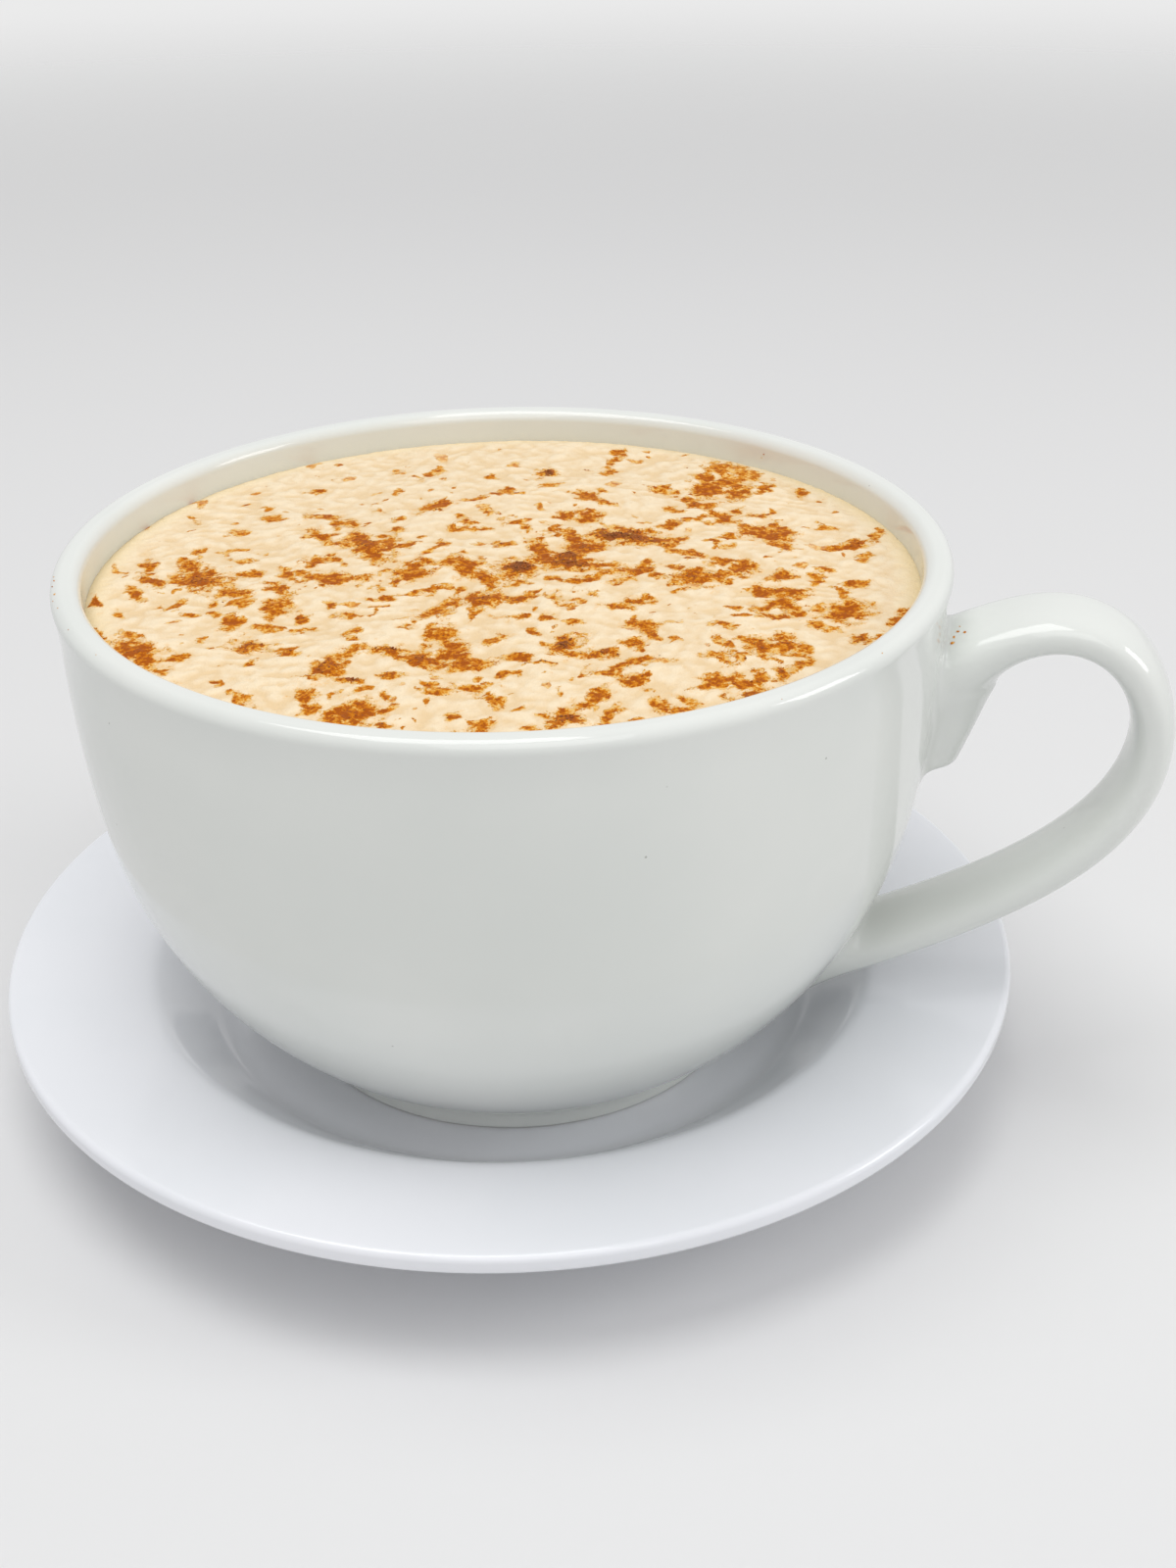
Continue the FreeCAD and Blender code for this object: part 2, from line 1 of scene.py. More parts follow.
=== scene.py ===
"""A latte in a wide porcelain cup on its saucer, dressed for rendering round the fixed frame.

Everything is in metres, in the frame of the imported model, but for the few tables whose docstrings say
millimetres. The cup, the saucer and the drink are fine meshes that stand for the frame's own solids; the
crumbs of spice and the stray grains lie on them.
"""
import logging
import math
from dataclasses import dataclass, field
from enum import Enum

import bpy
import numpy as np
from mathutils import Matrix, Vector


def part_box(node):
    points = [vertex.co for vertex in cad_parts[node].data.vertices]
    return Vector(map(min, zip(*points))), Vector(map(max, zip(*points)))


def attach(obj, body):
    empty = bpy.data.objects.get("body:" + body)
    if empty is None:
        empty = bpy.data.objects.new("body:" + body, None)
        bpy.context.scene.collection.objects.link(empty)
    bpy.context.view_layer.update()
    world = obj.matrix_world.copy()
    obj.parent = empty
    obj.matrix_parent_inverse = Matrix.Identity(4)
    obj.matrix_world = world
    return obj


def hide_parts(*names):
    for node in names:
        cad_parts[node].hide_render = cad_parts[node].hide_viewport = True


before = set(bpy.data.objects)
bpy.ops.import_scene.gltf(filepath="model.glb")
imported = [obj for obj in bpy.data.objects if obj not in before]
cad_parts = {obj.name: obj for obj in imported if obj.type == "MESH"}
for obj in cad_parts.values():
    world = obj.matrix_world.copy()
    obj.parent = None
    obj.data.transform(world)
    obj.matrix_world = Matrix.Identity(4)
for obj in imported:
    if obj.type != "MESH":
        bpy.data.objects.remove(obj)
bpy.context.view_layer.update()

MM = 0.001
TOUCHING = 1e-4 * MM
LOG = logging.getLogger("latte")
Colour = tuple[float, float, float, float]


def paint(red: float, green: float, blue: float) -> Colour:
    """A screen colour of 0 to 255 a channel, as the linear colour that shaders take.

    Args:
        red: Red channel.
        green: Green channel.
        blue: Blue channel.

    Returns:
        The linear colour with an alpha of 1.
    """
    def linear(level: float) -> float:
        """One channel made linear."""
        part = level / 255
        return part / 12.92 if part <= 0.04045 else ((part + 0.055) / 1.055) ** 2.4

    return (linear(red), linear(green), linear(blue), 1.0)


class Drift:
    """Seeded smooth noise over a plane, from about -1 to 1."""

    slope_count: int = 256
    layer_shift: tuple[float, float] = (17.3, -9.1)

    def __init__(self, seed: int) -> None:
        """Draws the noise's slopes.

        Args:
            seed: The seed that fixes the pattern.
        """
        rng = np.random.default_rng(seed)
        self.order = rng.permutation(self.slope_count)
        angles = rng.uniform(0, 2 * np.pi, self.slope_count)
        self.slopes = np.stack([np.cos(angles), np.sin(angles)], axis=-1)

    def at(self, x: np.ndarray, y: np.ndarray) -> np.ndarray:
        """The noise at points whose unit is one wave.

        Args:
            x: First coordinates.
            y: Second coordinates.

        Returns:
            One value a point.
        """
        x0, y0 = np.floor(x).astype(int), np.floor(y).astype(int)
        fx, fy = x - x0, y - y0

        def corner(i: int, j: int) -> np.ndarray:
            """The pull of one corner of the cell."""
            column = self.order[(x0 + i) % self.slope_count]
            slope = self.slopes[self.order[(column + y0 + j) % self.slope_count]]
            return slope[..., 0] * (fx - i) + slope[..., 1] * (fy - j)

        ux = fx ** 3 * (fx * (fx * 6 - 15) + 10)
        uy = fy ** 3 * (fy * (fy * 6 - 15) + 10)
        low = corner(0, 0) * (1 - ux) + corner(1, 0) * ux
        high = corner(0, 1) * (1 - ux) + corner(1, 1) * ux
        return 1.5 * (low * (1 - uy) + high * uy)

    def layers(self, x: np.ndarray, y: np.ndarray, wave: float, octaves: int) -> np.ndarray:
        """Noise summed over waves that halve in length and in strength.

        Args:
            x: First coordinates, in metres.
            y: Second coordinates, in metres.
            wave: Length of the longest wave, in metres.
            octaves: How many waves are summed.

        Returns:
            One value a point.
        """
        total = np.zeros_like(x)
        for k in range(octaves):
            scale = 2 ** k / wave
            shift_x, shift_y = self.layer_shift[0] * k, self.layer_shift[1] * k
            total += self.at(x * scale + shift_x, y * scale + shift_y) / 2 ** k
        return total


def arc(centre: tuple[float, float], radius: float, start: float, end: float, step: float) -> np.ndarray:
    """Points along a round arc of a profile.

    Args:
        centre: The arc's centre, as radius and height.
        radius: The arc's radius.
        start: Angle at the first point, in radians from outward, upward positive.
        end: Angle at the last point.
        step: Longest distance between two points.

    Returns:
        The points, one row each.
    """
    count = max(3, math.ceil(abs(end - start) * radius / step) + 1)
    turn = np.linspace(start, end, count)
    return np.stack([centre[0] + radius * np.cos(turn), centre[1] + radius * np.sin(turn)], axis=-1)


def run(start: tuple[float, float], end: tuple[float, float], step: float) -> np.ndarray:
    """Points along a straight stretch of a profile.

    Args:
        start: First point, as radius and height.
        end: Last point.
        step: Longest distance between two points.

    Returns:
        The points, one row each.
    """
    count = max(2, math.ceil(math.dist(start, end) / step) + 1)
    return np.linspace(start, end, count)


def join_runs(*runs: np.ndarray) -> np.ndarray:
    """Stretches of a profile end to end, with each shared point kept once.

    Args:
        runs: The stretches in order.

    Returns:
        The points, one row each.
    """
    points = [runs[0]]
    for part in runs[1:]:
        shared = np.allclose(part[0], points[-1][-1], rtol=0, atol=TOUCHING)
        points.append(part[1:] if shared else part)
    return np.concatenate(points)


@dataclass
class MeshParts:
    """Vertices and faces of a mesh in the making, with a material number for each face."""

    vertices: list[np.ndarray] = field(default_factory=list)
    faces: list[tuple[int, ...]] = field(default_factory=list)
    finishes: list[int] = field(default_factory=list)
    count: int = 0

    def add(self, vertices: np.ndarray, faces: np.ndarray | None = None) -> None:
        """Adds a shell, or vertices alone.

        Args:
            vertices: Its vertices, one row each.
            faces: Its faces, as rows of vertex numbers that start at 0.
        """
        if faces is not None:
            self.cover(faces + self.count)
        self.vertices.append(vertices)
        self.count += len(vertices)

    def cover(self, faces: np.ndarray, finish: int = 0) -> None:
        """Adds faces over vertices that the mesh has already.

        Args:
            faces: The faces, as rows of the mesh's own vertex numbers.
            finish: Their material number.
        """
        self.faces.extend(map(tuple, faces.tolist()))
        self.finishes.extend([finish] * len(faces))

    def turn(self, profile: np.ndarray, axis: Vector, base: float, segments: int, bare_height: float) -> None:
        """Turns a profile about an upright axis and closes it at its two ends, which lie on the axis.

        Args:
            profile: Points as radius and height, counter-clockwise, from the axis below to the axis above.
            axis: A point on the axis.
            base: Height of the profile's zero.
            segments: Number of steps round the axis.
            bare_height: Height in the profile under which the faces take material number 1.
        """
        turns = np.arange(segments) * 2 * np.pi / segments
        rings = profile[1:-1]
        x = rings[:, :1] * np.cos(turns) + axis.x
        y = rings[:, :1] * np.sin(turns) + axis.y
        z = np.repeat(rings[:, 1:] + base, segments, axis=1)
        ends = [[axis.x, axis.y, height + base] for height in (profile[0, 1], profile[-1, 1])]
        vertices = np.concatenate([np.stack([x, y, z], axis=-1).reshape(-1, 3), ends])
        number = np.arange(len(rings) * segments).reshape(len(rings), segments)
        after = np.roll(number, -1, axis=1)
        faces = np.stack([number[:-1], after[:-1], after[1:], number[1:]], axis=-1).reshape(-1, 4)
        low = rings[:, 1] < bare_height
        bare = np.repeat(low[:-1] & low[1:], segments)
        start = self.count
        self.add(vertices, faces[~bare])
        self.cover(start + faces[bare], finish=1)
        below = np.stack([np.full(segments, number.size), after[0], number[0]], axis=-1)
        above = np.stack([np.full(segments, number.size + 1), number[-1], after[-1]], axis=-1)
        self.cover(start + np.concatenate([below, above]))

    def build(self, name: str, finishes: list[bpy.types.Material], *stands_for: str,
              slot: str) -> bpy.types.Object:
        """Makes the mesh an object of the scene that rides on the root body.

        Args:
            name: The object's name.
            finishes: The materials, in the order of their numbers.
            stands_for: CAD nodes that the object replaces.
            slot: The record's material slot; not used.

        Returns:
            The object.
        """
        mesh = bpy.data.meshes.new(name)
        mesh.from_pydata(np.concatenate(self.vertices).tolist(), [], self.faces)
        for finish in finishes:
            mesh.materials.append(finish)
        mesh.polygons.foreach_set("material_index", self.finishes)
        mesh.polygons.foreach_set("use_smooth", [True] * len(self.faces))
        mesh.update()
        piece = bpy.data.objects.new(name, mesh)
        bpy.context.scene.collection.objects.link(piece)
        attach(piece, "root")
        if stands_for:
            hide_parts(*stands_for)
        LOG.info("%s: %d vertices, %d faces", name, self.count, len(self.faces))
        return piece


@dataclass
class CupWall:
    """The cup's wall, as arcs about its axis, with the cup's foot at height 0."""

    rim_radius: float = 57.5 * MM
    height: float = 70.9 * MM
    wall: float = 3.3 * MM
    rim_flare: float = 0.5 * MM
    flare_radius: float = 31 * MM
    lip_outer: float = 1.5 * MM
    lip_inner: float = 1.6 * MM
    side_radius: float = 147 * MM
    bowl_radius: float = 55 * MM
    foot_radius: float = 31.6 * MM
    foot_height: float = 2.6 * MM
    foot_width: float = 3.2 * MM
    foot_recess: float = 1.8 * MM
    floor: float = 3.4 * MM
    floor_blend: float = 10 * MM
    foot_edge: float = 0.5 * MM
    foot_fillet: float = 1.2 * MM
    floor_step: float = 5 * MM
    foot_step: float = 3 * MM
    inner_step: float = 2 * MM
    side_step: float = 1 * MM
    flare_step: float = 0.5 * MM
    edge_step: float = 0.2 * MM
    lip_step: float = 0.15 * MM

    def __post_init__(self) -> None:
        """Works out where the arcs meet."""
        self.top_radius = self.rim_radius - self.rim_flare
        lean = self.flare_radius + self.lip_outer
        rise = math.sqrt(2 * lean * self.rim_flare - self.rim_flare ** 2)
        self.flare_start = self.height - self.lip_outer - rise
        self.side_centre = (self.top_radius - self.side_radius, self.flare_start)
        self.flare_centre = (self.top_radius + self.flare_radius, self.flare_start)
        self.lip_centre = (self.rim_radius - self.lip_outer, self.height - self.lip_outer)
        gap_x = self.side_centre[0] - self.foot_radius
        gap_y = self.side_centre[1] - self.foot_height
        gap = math.hypot(gap_x, gap_y)
        far = self.side_radius - self.bowl_radius
        along = (gap ** 2 + self.bowl_radius ** 2 - far ** 2) / (2 * gap)
        aside = math.sqrt(self.bowl_radius ** 2 - along ** 2)
        self.bowl_centre = (self.foot_radius + (gap_x * along + gap_y * aside) / gap,
                            self.foot_height + (gap_y * along - gap_x * aside) / gap)
        self.bowl_end = math.atan2(self.bowl_centre[1] - self.side_centre[1],
                                   self.bowl_centre[0] - self.side_centre[0])

    def outside(self) -> np.ndarray:
        """The outside from under the middle of the foot to the top of the lip.

        Returns:
            Profile points.
        """
        ring = self.foot_radius - self.foot_width
        edge = self.foot_edge
        fillet = self.foot_fillet
        aside = self.foot_radius + fillet - self.bowl_centre[0]
        nook = (self.foot_radius + fillet,
                self.bowl_centre[1] - math.sqrt((self.bowl_radius + fillet) ** 2 - aside ** 2))
        bowl_start = math.atan2(nook[1] - self.bowl_centre[1], aside)
        lean = math.atan2(self.lip_centre[1] - self.flare_centre[1],
                          self.lip_centre[0] - self.flare_centre[0])
        return join_runs(
            run((0, self.foot_recess), (ring - edge, self.foot_recess), self.foot_step),
            arc((ring - edge, self.foot_recess - edge), edge, math.pi / 2, 0, self.edge_step),
            arc((ring + edge, edge), edge, math.pi, 1.5 * math.pi, self.edge_step),
            arc((self.foot_radius - edge, edge), edge, -math.pi / 2, 0, self.edge_step),
            run((self.foot_radius, edge), (self.foot_radius, nook[1]), self.flare_step),
            arc(nook, fillet, math.pi, bowl_start + math.pi, self.edge_step),
            arc(self.bowl_centre, self.bowl_radius, bowl_start, self.bowl_end, self.side_step),
            arc(self.side_centre, self.side_radius, self.bowl_end, 0, self.side_step),
            arc(self.flare_centre, self.flare_radius, math.pi, lean % (2 * math.pi), self.flare_step),
            arc(self.lip_centre, self.lip_outer, lean - math.pi, math.pi / 2, self.lip_step),
        )

    def inside(self, inset: float = 0.0) -> np.ndarray:
        """The inside from the top of the straight wall down to the middle of the floor.

        Args:
            inset: How far the line lies inside the cavity; below 0 it lies in the wall.

        Returns:
            Profile points.
        """
        wall = self.wall + inset
        floor = self.foot_recess + self.floor + inset
        blend = self.floor_blend - inset
        bowl = self.bowl_radius - wall
        rise = self.bowl_centre[1] - floor - blend
        centre = (self.bowl_centre[0] + math.sqrt((bowl - blend) ** 2 - rise ** 2), floor + blend)
        meet = math.atan2(centre[1] - self.bowl_centre[1], centre[0] - self.bowl_centre[0])
        return join_runs(
            arc(self.side_centre, self.side_radius - wall, 0, self.bowl_end, self.inner_step),
            arc(self.bowl_centre, bowl, self.bowl_end, meet, self.inner_step),
            arc(centre, blend, meet, -math.pi / 2, self.inner_step),
            run((centre[0], floor), (0, floor), self.floor_step),
        )

    def profile(self) -> np.ndarray:
        """The whole closed profile, from under the foot over the lip to the floor's middle.

        Returns:
            Profile points.
        """
        inner = self.top_radius - self.wall
        lip = self.lip_inner
        return join_runs(
            self.outside(),
            run((self.lip_centre[0], self.height), (inner + lip, self.height), self.edge_step),
            arc((inner + lip, self.height - lip), lip, math.pi / 2, math.pi, self.lip_step),
            run((inner, self.height - lip), (inner, self.flare_start), self.side_step),
            self.inside(),
        )

    def radius_at(self, height: np.ndarray) -> np.ndarray:
        """The outside's radius at heights between the foot and the lip.

        Args:
            height: Heights above the foot.

        Returns:
            One radius a height.
        """
        def ring(centre: tuple[float, float], radius: float) -> np.ndarray:
            """How far an arc reaches from its centre's upright line."""
            return np.sqrt(np.maximum(radius ** 2 - (height - centre[1]) ** 2, 0))

        joint = self.bowl_centre[1] + self.bowl_radius * math.sin(self.bowl_end)
        bowl = self.bowl_centre[0] + ring(self.bowl_centre, self.bowl_radius)
        side = self.side_centre[0] + ring(self.side_centre, self.side_radius)
        flare = self.flare_centre[0] - ring(self.flare_centre, self.flare_radius)
        return np.where(height < joint, bowl, np.where(height < self.flare_start, side, flare))


def soft_join(first: np.ndarray, second: np.ndarray, reach: np.ndarray | float) -> np.ndarray:
    """Joins two solids' distances with a smooth fillet between them.

    Args:
        first: Distance to the first solid, below 0 inside.
        second: Distance to the second solid.
        reach: How far from the crossing the fillet starts.

    Returns:
        Distance to the joined solid.
    """
    near = np.maximum(reach - np.abs(first - second), 0) / reach
    return np.minimum(first, second) - near ** 2 * reach / 4


@dataclass
class Handle:
    """The strap handle with the tail below its upper root, grown smoothly out of the wall.

    Places are in the plane of the handle: how far out from the cup's axis, across, and up from its foot.
    The poles of the strap's curve are in millimetres.
    """

    wall: CupWall
    width: float = 13.0 * MM
    thick: float = 5.5 * MM
    roundness: float = 2.5
    lower_flare: float = 0.12
    poles: tuple[tuple[float, float], ...] = (
        (52.5, 53.9), (73.3, 74.7), (86.8, 65.7), (88.9, 45.6), (89.5, 36.2), (68.4, 23.4), (34.9, 9.2))
    line_count: int = 161
    flared_share: float = 0.25
    tail_tip: float = 43.3 * MM
    tail_top: float = 55.5 * MM
    tail_close: float = 1.7 * MM
    tail_proud: float = 3.75 * MM
    tail_lean: float = 0.255
    tail_half: float = 4.5 * MM
    tail_spread: float = 0.15
    tail_blend: float = 5 * MM
    tail_sunk: float = 2 * MM
    tail_roundness: float = 2.6
    top_fillet: float = 0.7 * MM
    top_fillet_from: float = 57 * MM
    top_fillet_rise: float = 5 * MM
    upper_fillet: float = 2.2 * MM
    lower_fillet: float = 4.2 * MM
    lower_fillet_from: float = 38 * MM
    lower_fillet_drop: float = 6 * MM
    skirt: float = 0.6 * MM
    tuck: float = 1.2 * MM
    sink: float = 0.005 * MM
    step: float = 0.55 * MM
    net_low: tuple[float, float, float] = (42 * MM, -11 * MM, 2 * MM)
    net_high: tuple[float, float, float] = (91 * MM, 11 * MM, 71 * MM)
    probe: float = 0.02 * MM
    longest_move: float = 0.3 * MM
    least_steepness: float = 0.1
    net_rounds: int = 4
    spot_rounds: int = 8
    batch: int = 20000

    def centre_line(self) -> np.ndarray:
        """Points along the middle of the strap.

        Returns:
            The points, as out and up.
        """
        t = np.linspace(0, 1, self.line_count)[:, None]
        degree = len(self.poles) - 1
        parts = [math.comb(degree, k) * t ** k * (1 - t) ** (degree - k) * np.array([pole])
                 for k, pole in enumerate(self.poles)]
        return np.sum(parts, axis=0) * MM

    def strap(self, points: np.ndarray) -> np.ndarray:
        """Distance to the strap.

        Args:
            points: Points in the handle's plane and across it.

        Returns:
            One distance a point.
        """
        line = self.centre_line()
        place = points[:, [0, 2]]
        off = np.empty(len(points))
        share = np.empty(len(points))
        spans = line[1:] - line[:-1]
        lengths = np.einsum("ij,ij->i", spans, spans)
        for start in range(0, len(points), self.batch):
            part = slice(start, start + self.batch)
            away = place[part, None, :] - line[None, :-1, :]
            along = np.clip(np.einsum("nij,ij->ni", away, spans) / lengths, 0, 1)
            away -= along[..., None] * spans
            far = np.einsum("nij,nij->ni", away, away)
            best = far.argmin(axis=1)
            rows = np.arange(len(best))
            off[part] = np.sqrt(far[rows, best])
            share[part] = (best + along[rows, best]) / len(spans)
        growth = 1 + self.lower_flare * np.maximum(0, 1 - (1 - share) / self.flared_share) ** 2
        return self.oval(np.abs(points[:, 1]), off, growth)

    def oval(self, across: np.ndarray, off: np.ndarray, growth: np.ndarray) -> np.ndarray:
        """Distance to the strap's flat oval, in the oval's own plane.

        Args:
            across: How far across, 0 or more.
            off: How far off its middle, 0 or more.
            growth: How many times its usual size the oval has.

        Returns:
            One distance a point.
        """
        half_width, half_thick = self.width / 2 * growth, self.thick / 2 * growth
        power = self.roundness
        a = np.maximum(across / half_width, 1e-6)
        b = np.maximum(off / half_thick, 1e-6)
        size = (a ** power + b ** power) ** (1 / power)
        steep = np.hypot((a / size) ** (power - 1) / half_width, (b / size) ** (power - 1) / half_thick)
        return (size - 1) / steep

    def tail(self, points: np.ndarray) -> np.ndarray:
        """Distance to the tail that runs down the wall from the upper root.

        Args:
            points: Points in the handle's plane and across it.

        Returns:
            One distance a point.
        """
        up = points[:, 2]
        held = np.clip(up, self.tail_tip, self.tail_top)
        proud = self.tail_proud + self.tail_lean * (held - self.tail_tip)
        half = self.tail_half + self.tail_spread * (held - self.tail_tip)
        depth = proud + self.tail_sunk
        outward = np.hypot(points[:, 0], points[:, 1]) - self.wall.radius_at(held) + self.tail_sunk
        knee = self.tail_tip + self.tail_close
        ends = np.maximum(np.maximum(knee - up, 0) / self.tail_close,
                          np.maximum(up - self.tail_top, 0) / (2 * self.tail_close))
        a = np.abs(points[:, 1]) / half
        b = np.abs(outward) / depth
        power = self.tail_roundness
        size = np.maximum((a ** power + b ** power + ends ** power) ** (1 / power), 1e-6)
        steep = np.sqrt(((a / size) ** (power - 1) / half) ** 2
                        + ((b / size) ** (power - 1) / depth) ** 2
                        + ((ends / size) ** (power - 1) / self.tail_close) ** 2)
        least = 0.1 / MM
        return (size - 1) / np.maximum(steep, least)

    def distance(self, points: np.ndarray) -> np.ndarray:
        """Distance to the handle's shell: grown onto the wall, tucked a little way into it.

        Args:
            points: Points in the handle's plane and across it.

        Returns:
            One distance a point.
        """
        up = points[:, 2]
        near = 0.1 * MM
        radius = self.wall.radius_at(up)
        lean = (self.wall.radius_at(up + near) - self.wall.radius_at(up - near)) / (2 * near)
        off_wall = (np.hypot(points[:, 0], points[:, 1]) - radius) / np.sqrt(1 + lean ** 2)
        bare = soft_join(self.strap(points), self.tail(points), self.tail_blend)
        low = np.clip((self.lower_fillet_from - up) / self.lower_fillet_drop, 0, 1)
        high = np.clip((up - self.top_fillet_from) / self.top_fillet_rise, 0, 1)
        fillet = self.upper_fillet + (self.lower_fillet - self.upper_fillet) * low
        fillet = fillet + (self.top_fillet - self.upper_fillet) * high
        grown = soft_join(bare, off_wall, fillet) + self.sink
        return np.maximum(np.maximum(grown, -off_wall - self.tuck), bare - fillet - self.skirt)

    def shell(self) -> tuple[np.ndarray, np.ndarray]:
        """The handle's skin, as a net drawn through a grid's cells. It stays open where the grid starts.

        Returns:
            Vertices in the handle's plane and across it, and faces as rows of four.
        """
        low = np.array(self.net_low)
        counts = np.ceil((np.array(self.net_high) - low) / self.step).astype(int) + 1
        axes = [low[k] + self.step * np.arange(counts[k]) for k in range(3)]
        grid = np.stack(np.meshgrid(*axes, indexing="ij"), axis=-1)
        values = self.distance(grid.reshape(-1, 3)).reshape(counts)
        vertices, faces = draw_net(values, low, self.step)
        return self.settle(vertices, self.net_rounds), faces

    def settle(self, vertices: np.ndarray, rounds: int) -> np.ndarray:
        """Moves vertices on to the skin.

        Args:
            vertices: Vertices near the skin.
            rounds: How many times they move a step nearer.

        Returns:
            The moved vertices.
        """
        for _ in range(rounds):
            value = self.distance(vertices)
            rises = [self.distance(vertices + offset) - self.distance(vertices - offset)
                     for offset in np.eye(3) * self.probe]
            slope = np.stack(rises, axis=-1) / (2 * self.probe)
            steep = np.maximum(np.einsum("ij,ij->i", slope, slope), self.least_steepness)
            shift = -value[:, None] * slope / steep[:, None]
            vertices = vertices + np.clip(shift, -self.longest_move, self.longest_move)
        return vertices


def draw_net(values: np.ndarray, low: np.ndarray, step: float) -> tuple[np.ndarray, np.ndarray]:
    """A skin through the cells of a grid where the value changes sign.

    Args:
        values: The value at each grid point, below 0 inside.
        low: The grid's lowest corner.
        step: The grid's step.

    Returns:
        One vertex a crossed cell, and one face of four for each crossed edge of the grid.
    """
    inside = values < 0
    cells = tuple(n - 1 for n in values.shape)
    corners = [(i, j, k) for i in (0, 1) for j in (0, 1) for k in (0, 1)]

    def view(block: np.ndarray, corner: tuple[int, int, int]) -> np.ndarray:
        """The block as seen from one corner of every cell."""
        return block[tuple(slice(c, c + n) for c, n in zip(corner, cells))]

    total = sum(view(inside, corner).astype(int) for corner in corners)
    crossed = (total > 0) & (total < 8)
    place = np.zeros(cells + (3,))
    weight = np.zeros(cells)
    for axis in range(3):
        for corner in (c for c in corners if c[axis] == 0):
            other = tuple(c + (a == axis) for a, c in enumerate(corner))
            first, second = view(values, corner), view(values, other)
            cut = (first < 0) != (second < 0)
            gap = np.where(cut, first - second, 1)
            share = np.where(cut, first / gap, 0)
            for a in range(3):
                place[..., a] += np.where(cut, corner[a] + (share if a == axis else 0), 0)
            weight += cut
    at = np.argwhere(crossed)
    vertices = low + step * (at + place[crossed] / weight[crossed][:, None])
    number = np.full(cells, -1)
    number[crossed] = np.arange(len(at))
    faces = []
    for axis in range(3):
        one, two = (axis + 1) % 3, (axis + 2) % 3
        start = [slice(1, -1)] * 3
        start[axis] = slice(0, -1)
        after = list(start)
        after[axis] = slice(1, None)
        here, there = inside[tuple(start)], inside[tuple(after)]
        spots = np.argwhere(here != there) + np.array([0 if a == axis else 1 for a in range(3)])
        outward = here[here != there]
        aside, across = np.eye(3, dtype=int)[one], np.eye(3, dtype=int)[two]
        backs = (0 * aside, aside, aside + across, across)
        quad = np.stack([number[tuple((spots - back).T)] for back in backs], axis=-1)
        faces.append(np.where(outward[:, None], quad, quad[:, ::-1]))
    return vertices, np.concatenate(faces)


class Slot(Enum):
    """The record's material slots."""

    CUP = "cup_glaze"
    SAUCER = "saucer_glaze"
    FOAM = "milk_foam"
    SPICE = "spice"


class Sum(Enum):
    """The steps of arithmetic that the materials take."""

    PLUS = "ADD"
    MINUS = "SUBTRACT"
    TIMES = "MULTIPLY"
    LARGER = "MAXIMUM"


class Wiring:
    """Adds the nodes of one shader tree and joins them."""

    def __init__(self, tree: bpy.types.NodeTree) -> None:
        """Takes the tree.

        Args:
            tree: A material's or a group's tree.
        """
        self.tree = tree

    def add(self, kind: str, inputs: dict | None = None, **settings: object) -> bpy.types.Node:
        """Adds a node.

        Args:
            kind: The node's type.
            inputs: Its inputs by name or number, each a value or another node's output.
            settings: The node's own settings.

        Returns:
            The node.
        """
        node = self.tree.nodes.new(kind)
        for name, value in settings.items():
            setattr(node, name, value)
        for name, value in (inputs or {}).items():
            if isinstance(value, bpy.types.NodeSocket):
                self.tree.links.new(value, node.inputs[name])
            else:
                node.inputs[name].default_value = value
        return node

    def noise(self, where: bpy.types.NodeSocket, scale: float, detail: float = 2.0,
              roughness: float = 0.5) -> bpy.types.NodeSocket:
        """Smooth noise from 0 to 1 at a scale in waves a metre."""
        return self.add("ShaderNodeTexNoise", {"Vector": where, "Scale": scale, "Detail": detail,
                                               "Roughness": roughness}).outputs[0]

    def ramp(self, value: object, low: float, high: float, start: float = 0.0,
             end: float = 1.0) -> bpy.types.NodeSocket:
        """A value's smooth rise from one level to another, clamped at both ends."""
        return self.add("ShaderNodeMapRange", {"Value": value, "From Min": low, "From Max": high,
                                               "To Min": start, "To Max": end},
                        interpolation_type="SMOOTHSTEP").outputs[0]

    def reckon(self, first: object, step: Sum, second: object) -> bpy.types.NodeSocket:
        """The result of one step of arithmetic."""
        return self.add("ShaderNodeMath", {0: first, 1: second}, operation=step.value).outputs[0]

    def feed(self, node: bpy.types.Node, **inputs: bpy.types.NodeSocket) -> None:
        """Joins outputs to a node's inputs, each named with _ for a space."""
        for name, output in inputs.items():
            self.tree.links.new(output, node.inputs[name.replace("_", " ")])

    def blend(self, share: object, first: object, second: object) -> bpy.types.NodeSocket:
        """A colour between two others."""
        return self.add("ShaderNodeMix", {0: share, 6: first, 7: second}, data_type="RGBA").outputs[2]

    def bump(self, height: bpy.types.NodeSocket, distance: float) -> bpy.types.NodeSocket:
        """The normal of a surface raised by a height."""
        return self.add("ShaderNodeBump", {"Height": height, "Distance": distance,
                                           "Strength": 1.0}).outputs[0]

    def spread(self, name: str) -> bpy.types.NodeSocket:
        """A value that the mesh carries at its vertices."""
        return self.add("ShaderNodeAttribute", attribute_name=name).outputs["Fac"]

    def place(self) -> bpy.types.NodeSocket:
        """Where the surface point is on the object, in metres."""
        return self.add("ShaderNodeTexCoord").outputs["Object"]


class Socket(Enum):
    """What a node group's input or output carries."""

    COLOUR = "NodeSocketColor"
    VALUE = "NodeSocketFloat"


